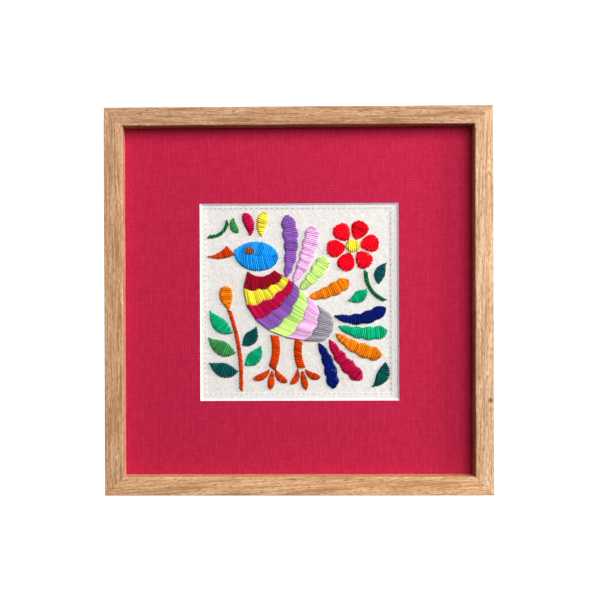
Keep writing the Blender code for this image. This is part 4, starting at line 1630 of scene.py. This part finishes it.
@dataclass
class OakFrame:
    """Four lengths of one oak moulding, mitred tight at the corners."""

    edge_radius: float = 0.8 * MM
    edge_steps: int = 8
    length_steps: int = 40
    mitre_gap: float = 0.02 * MM
    knot: tuple[float, float] = (0.1225, -0.0640)
    weld: float = 1e-6
    sharp_angle: float = math.radians(40)
    # Each rail is cut from another stretch of wood: its place in the grain, how far its grain runs
    # out to the side, and how light and warm it is.
    stretches: Mapping[str, tuple[float, float, tuple[float, float, float]]] = field(
        default_factory=lambda: {
            "top": (0.13, 0.01, (0.81, 0.71, 0.65)),
            "left": (1.37, -0.02, (0.96, 0.86, 0.775)),
            "bottom": (2.71, -0.07, (1.09, 0.94, 0.80)),
            "right": (4.19, 0.02, (1.01, 0.98, 0.97)),
        }
    )

    def _profile(self) -> bpy.types.Mesh:
        """Draw the moulding's cross-section.

        Returns:
            A closed line, x in from the outer side and y up from the back.
        """
        arc = [math.pi / 2 * step / self.edge_steps for step in range(self.edge_steps + 1)]
        r = self.edge_radius
        seat_height = FRAME_DEPTH - LIP_DEPTH
        turns = [(r * (1 - math.cos(a)), r * (1 - math.sin(a))) for a in arc]
        outer = [(far, FRAME_DEPTH - near) for far, near in turns]
        inner = [(RAIL_WIDTH - near, FRAME_DEPTH - far) for far, near in turns]
        back = [
            (RAIL_WIDTH, seat_height),
            (RAIL_WIDTH - REBATE_WIDTH, seat_height),
            (RAIL_WIDTH - REBATE_WIDTH, 0.0),
            (0.0, 0.0),
        ]
        points = [(x, y, 0.0) for x, y in outer + inner + back]
        mesh = bpy.data.meshes.new("moulding_profile")
        mesh.from_pydata(points, [(i, (i + 1) % len(points)) for i in range(len(points))], [])
        return mesh

    def _moulding_tree(self) -> GeometryTool:
        """Build the tree that runs a profile along a rail and cuts its mitres.

        Returns:
            The tool, with its named inputs.
        """
        tool = GeometryTool("mitred_moulding")
        side = tool.take("Side")
        gap = tool.take("Gap")
        count = tool.take("Count", "NodeSocketInt")
        turn = tool.take("Turn", "NodeSocketVector")
        material = tool.take("Material", "NodeSocketMaterial")
        profile = tool.node("GeometryNodeMeshToCurve", {0: tool.entry.outputs["Geometry"]}).outputs[0]
        line = tool.node(
            "GeometryNodeCurvePrimitiveLine", {"Start": (-0.5, 0.0, 0.0), "End": (0.5, 0.0, 0.0)}
        ).outputs[0]
        path = tool.node("GeometryNodeResampleCurve", {"Curve": line, "Count": count}).outputs[0]
        upright = tool.node("GeometryNodeSetCurveNormal", {"Curve": path}, mode="Z_UP").outputs[0]
        swept = tool.node(
            "GeometryNodeCurveToMesh",
            {"Curve": upright, "Profile Curve": profile, "Fill Caps": True},
        ).outputs[0]
        parts = tool.node(
            "ShaderNodeSeparateXYZ", {0: tool.node("GeometryNodeInputPosition").outputs[0]}
        )
        half_side = tool.node("ShaderNodeMath", {0: side, 1: 0.5}, operation="MULTIPLY").outputs[0]
        inset = tool.node("ShaderNodeMath", {0: parts.outputs["Y"]}, operation="ABSOLUTE").outputs[0]
        level = tool.node(
            "ShaderNodeMath", {0: half_side, 1: inset}, operation="SUBTRACT"
        ).outputs[0]
        reach = tool.node("ShaderNodeMath", {0: level, 1: gap}, operation="SUBTRACT").outputs[0]
        ends = tool.node("ShaderNodeMath", {0: reach, 1: 2.0}, operation="MULTIPLY").outputs[0]
        along = tool.node(
            "ShaderNodeMath", {0: parts.outputs["X"], 1: ends}, operation="MULTIPLY"
        ).outputs[0]
        height = tool.node("ShaderNodeMath", {0: parts.outputs["Z"]}, operation="ABSOLUTE").outputs[0]
        place = tool.node("ShaderNodeCombineXYZ", {0: along, 1: level, 2: height}).outputs[0]
        cut = tool.node("GeometryNodeSetPosition", {"Geometry": swept, "Position": place}).outputs[0]
        turned = tool.node("GeometryNodeTransform", {"Geometry": cut, "Rotation": turn}).outputs[0]
        tool.end(turned, material)
        return tool

    def build(self) -> list[bpy.types.Object]:
        """Make the four rails.

        Returns:
            The rails: top, left, bottom and right, each a quarter turn on.
        """
        tool = self._moulding_tree()
        rails = []
        for quarter, (label, (offset, slope, tint)) in enumerate(self.stretches.items()):
            way = GrainWay.ALONG_X if quarter % 2 == 0 else GrainWay.ALONG_Y
            knot = self.knot if label == "right" else None
            finish = OakFinish(f"oiled_oak_{label}", way, offset, tint, knot, slope).build()
            mesh = tool.run(
                f"oak_rail_{label}",
                self._profile(),
                side=FRAME_SIDE,
                gap=self.mitre_gap,
                count=self.length_steps,
                turn=(0.0, 0.0, quarter * math.pi / 2),
                material=finish,
            )
            self._dress(mesh)
            rail = new_piece(f"oak_rail_{label}", mesh)
            seat(rail, "oak", f"rail_{label}")
            rails.append(rail)
        return rails

    def _dress(self, mesh: bpy.types.Mesh) -> None:
        """Turn a rail's faces outwards, and shade its eased edges smooth.

        Args:
            mesh: The rail's mesh.
        """
        shape = bmesh.new()
        shape.from_mesh(mesh)
        bmesh.ops.remove_doubles(shape, verts=shape.verts, dist=self.weld)
        bmesh.ops.recalc_face_normals(shape, faces=shape.faces)
        shape.to_mesh(mesh)
        shape.free()
        mesh.shade_smooth()
        mesh.set_sharp_from_angle(angle=self.sharp_angle)


@dataclass(frozen=True)
class Studio:
    """A white floor, two soft lights from the upper right, and the camera above.

    A light is given by its place, the length of its side and its watts.
    """

    camera_place: tuple[float, float, float] = (-0.0143, -0.0032, 0.572)
    camera_tilt_degrees: tuple[float, float, float] = (-0.184, 0.810, -0.208)
    camera_shift: tuple[float, float] = (0.0597, 0.0147)
    focal_pixels: float = 857.4
    sensor_mm: float = 36.0
    window_light: tuple[tuple[float, float, float], float, float] = ((0.87, 0.87, 1.60), 1.74, 61.0)
    side_light: tuple[tuple[float, float, float], float, float] = ((1.10, 0.37, 0.42), 0.4, 11.0)
    sky_strength: float = 0.010
    floor_reach: float = 15.0
    floor_sides: int = 96
    floor_drop: float = 0.2 * MM
    floor_grey: str = "#8C8C8C"
    sweep_height: float = 1.7
    sweep_widening: float = 1.05
    glow_height: float = 0.65
    glow_high_up: float = 0.3

    def build(self) -> None:
        """Set up the floor, the lights, the world and the camera."""
        self._floor()
        # The right and top walls of the opening face away from both lights, as in the photograph.
        self._light("window_light", *self.window_light)
        self._light("side_light", *self.side_light, turned=True)
        world = bpy.data.worlds.new("studio")
        world.use_nodes = True
        sky = world.node_tree.nodes["Background"]
        sky.inputs["Color"].default_value = (1.0, 1.0, 1.0, 1.0)
        sky.inputs["Strength"].default_value = self.sky_strength
        bpy.context.scene.world = world
        bpy.context.scene.view_settings.view_transform = "Standard"
        self._camera()

    def _floor(self) -> None:
        """A plain white floor that glows, as a light table does, and sweeps up far away."""
        shape = bmesh.new()
        bmesh.ops.create_circle(
            shape, cap_ends=True, segments=self.floor_sides, radius=self.floor_reach
        )
        sweep = bmesh.ops.extrude_edge_only(shape, edges=shape.edges)
        rim = [part for part in sweep["geom"] if isinstance(part, bmesh.types.BMVert)]
        bmesh.ops.translate(shape, vec=(0.0, 0.0, self.sweep_height), verts=rim)
        bmesh.ops.scale(shape, vec=(self.sweep_widening, self.sweep_widening, 1.0), verts=rim)
        bmesh.ops.translate(shape, vec=(0.0, 0.0, -self.floor_drop), verts=shape.verts)
        mesh = bpy.data.meshes.new("table_top")
        shape.to_mesh(mesh)
        shape.free()
        material = bpy.data.materials.new("white_table")
        material.use_nodes = True
        shader = material.node_tree.nodes["Principled BSDF"]
        shader.inputs["Base Color"].default_value = linear(self.floor_grey)
        shader.inputs["Roughness"].default_value = 0.9
        shader.inputs["Emission Color"].default_value = (1.0, 1.0, 1.0, 1.0)
        place = add_node(material.node_tree, "ShaderNodeTexCoord").outputs["Object"]
        level = add_node(material.node_tree, "ShaderNodeSeparateXYZ", {0: place}).outputs["Z"]
        # The sweep dims with height, so that it hardly lights the walls of the frame's opening.
        glow = add_node(
            material.node_tree,
            "ShaderNodeMapRange",
            {0: level, 1: 0.0, 2: self.glow_height, 3: 1.0, 4: self.glow_high_up},
        ).outputs[0]
        material.node_tree.links.new(glow, shader.inputs["Emission Strength"])
        new_piece("table_top", mesh, material)

    def _light(
        self,
        name: str,
        place: tuple[float, float, float],
        size: float,
        watts: float,
        turned: bool = False,
    ) -> None:
        """A square soft light that faces down, or is turned to face the picture.

        Args:
            name: The light's name.
            place: Where it hangs.
            size: The length of its side.
            watts: Its power.
            turned: Whether it faces the picture.
        """
        lamp = bpy.data.lights.new(name, "AREA")
        lamp.size = size
        lamp.energy = watts
        holder = bpy.data.objects.new(name, lamp)
        holder.location = place
        if turned:
            holder.rotation_euler = Vector(place).to_track_quat("Z", "Y").to_euler()
        bpy.context.scene.collection.objects.link(holder)

    def _camera(self) -> None:
        """The camera above the picture, a little to its left and below its middle."""
        data = bpy.data.cameras.new("camera")
        data.sensor_width = self.sensor_mm
        data.lens = self.focal_pixels / PIXELS * self.sensor_mm
        data.shift_x, data.shift_y = self.camera_shift
        camera = bpy.data.objects.new("camera", data)
        camera.location = self.camera_place
        camera.rotation_euler = Euler([math.radians(a) for a in self.camera_tilt_degrees])
        bpy.context.scene.collection.objects.link(camera)
        bpy.context.scene.camera = camera


def finish_backing() -> None:
    """Give the backing board, whose solid has its true shape, its pressed-fibre finish."""
    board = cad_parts["backing_board"]
    finish = BoardFinish(
        "pressed_grey_board", "#A79B8B", "#8E8274", cloud_mm=2.5, felt_mm=0.7
    ).build()
    board.data.materials.clear()
    board.data.materials.append(finish)
    LOG.info("backing_board: pressed grey board")


def main() -> None:
    """Build the studio and the pieces, in the order that a framer would."""
    logging.basicConfig(level=logging.INFO, format="%(message)s")
    Studio().build()
    finish_backing()
    embroidery = Embroidery()
    stitched = embroidery.build()
    ground = GroundCloth()
    cloth = ground.build(embroidery.guides())
    hem = ground.build_hem()
    MatBoard().build()
    OakFrame().build()


if __name__ == "__main__":
    main()
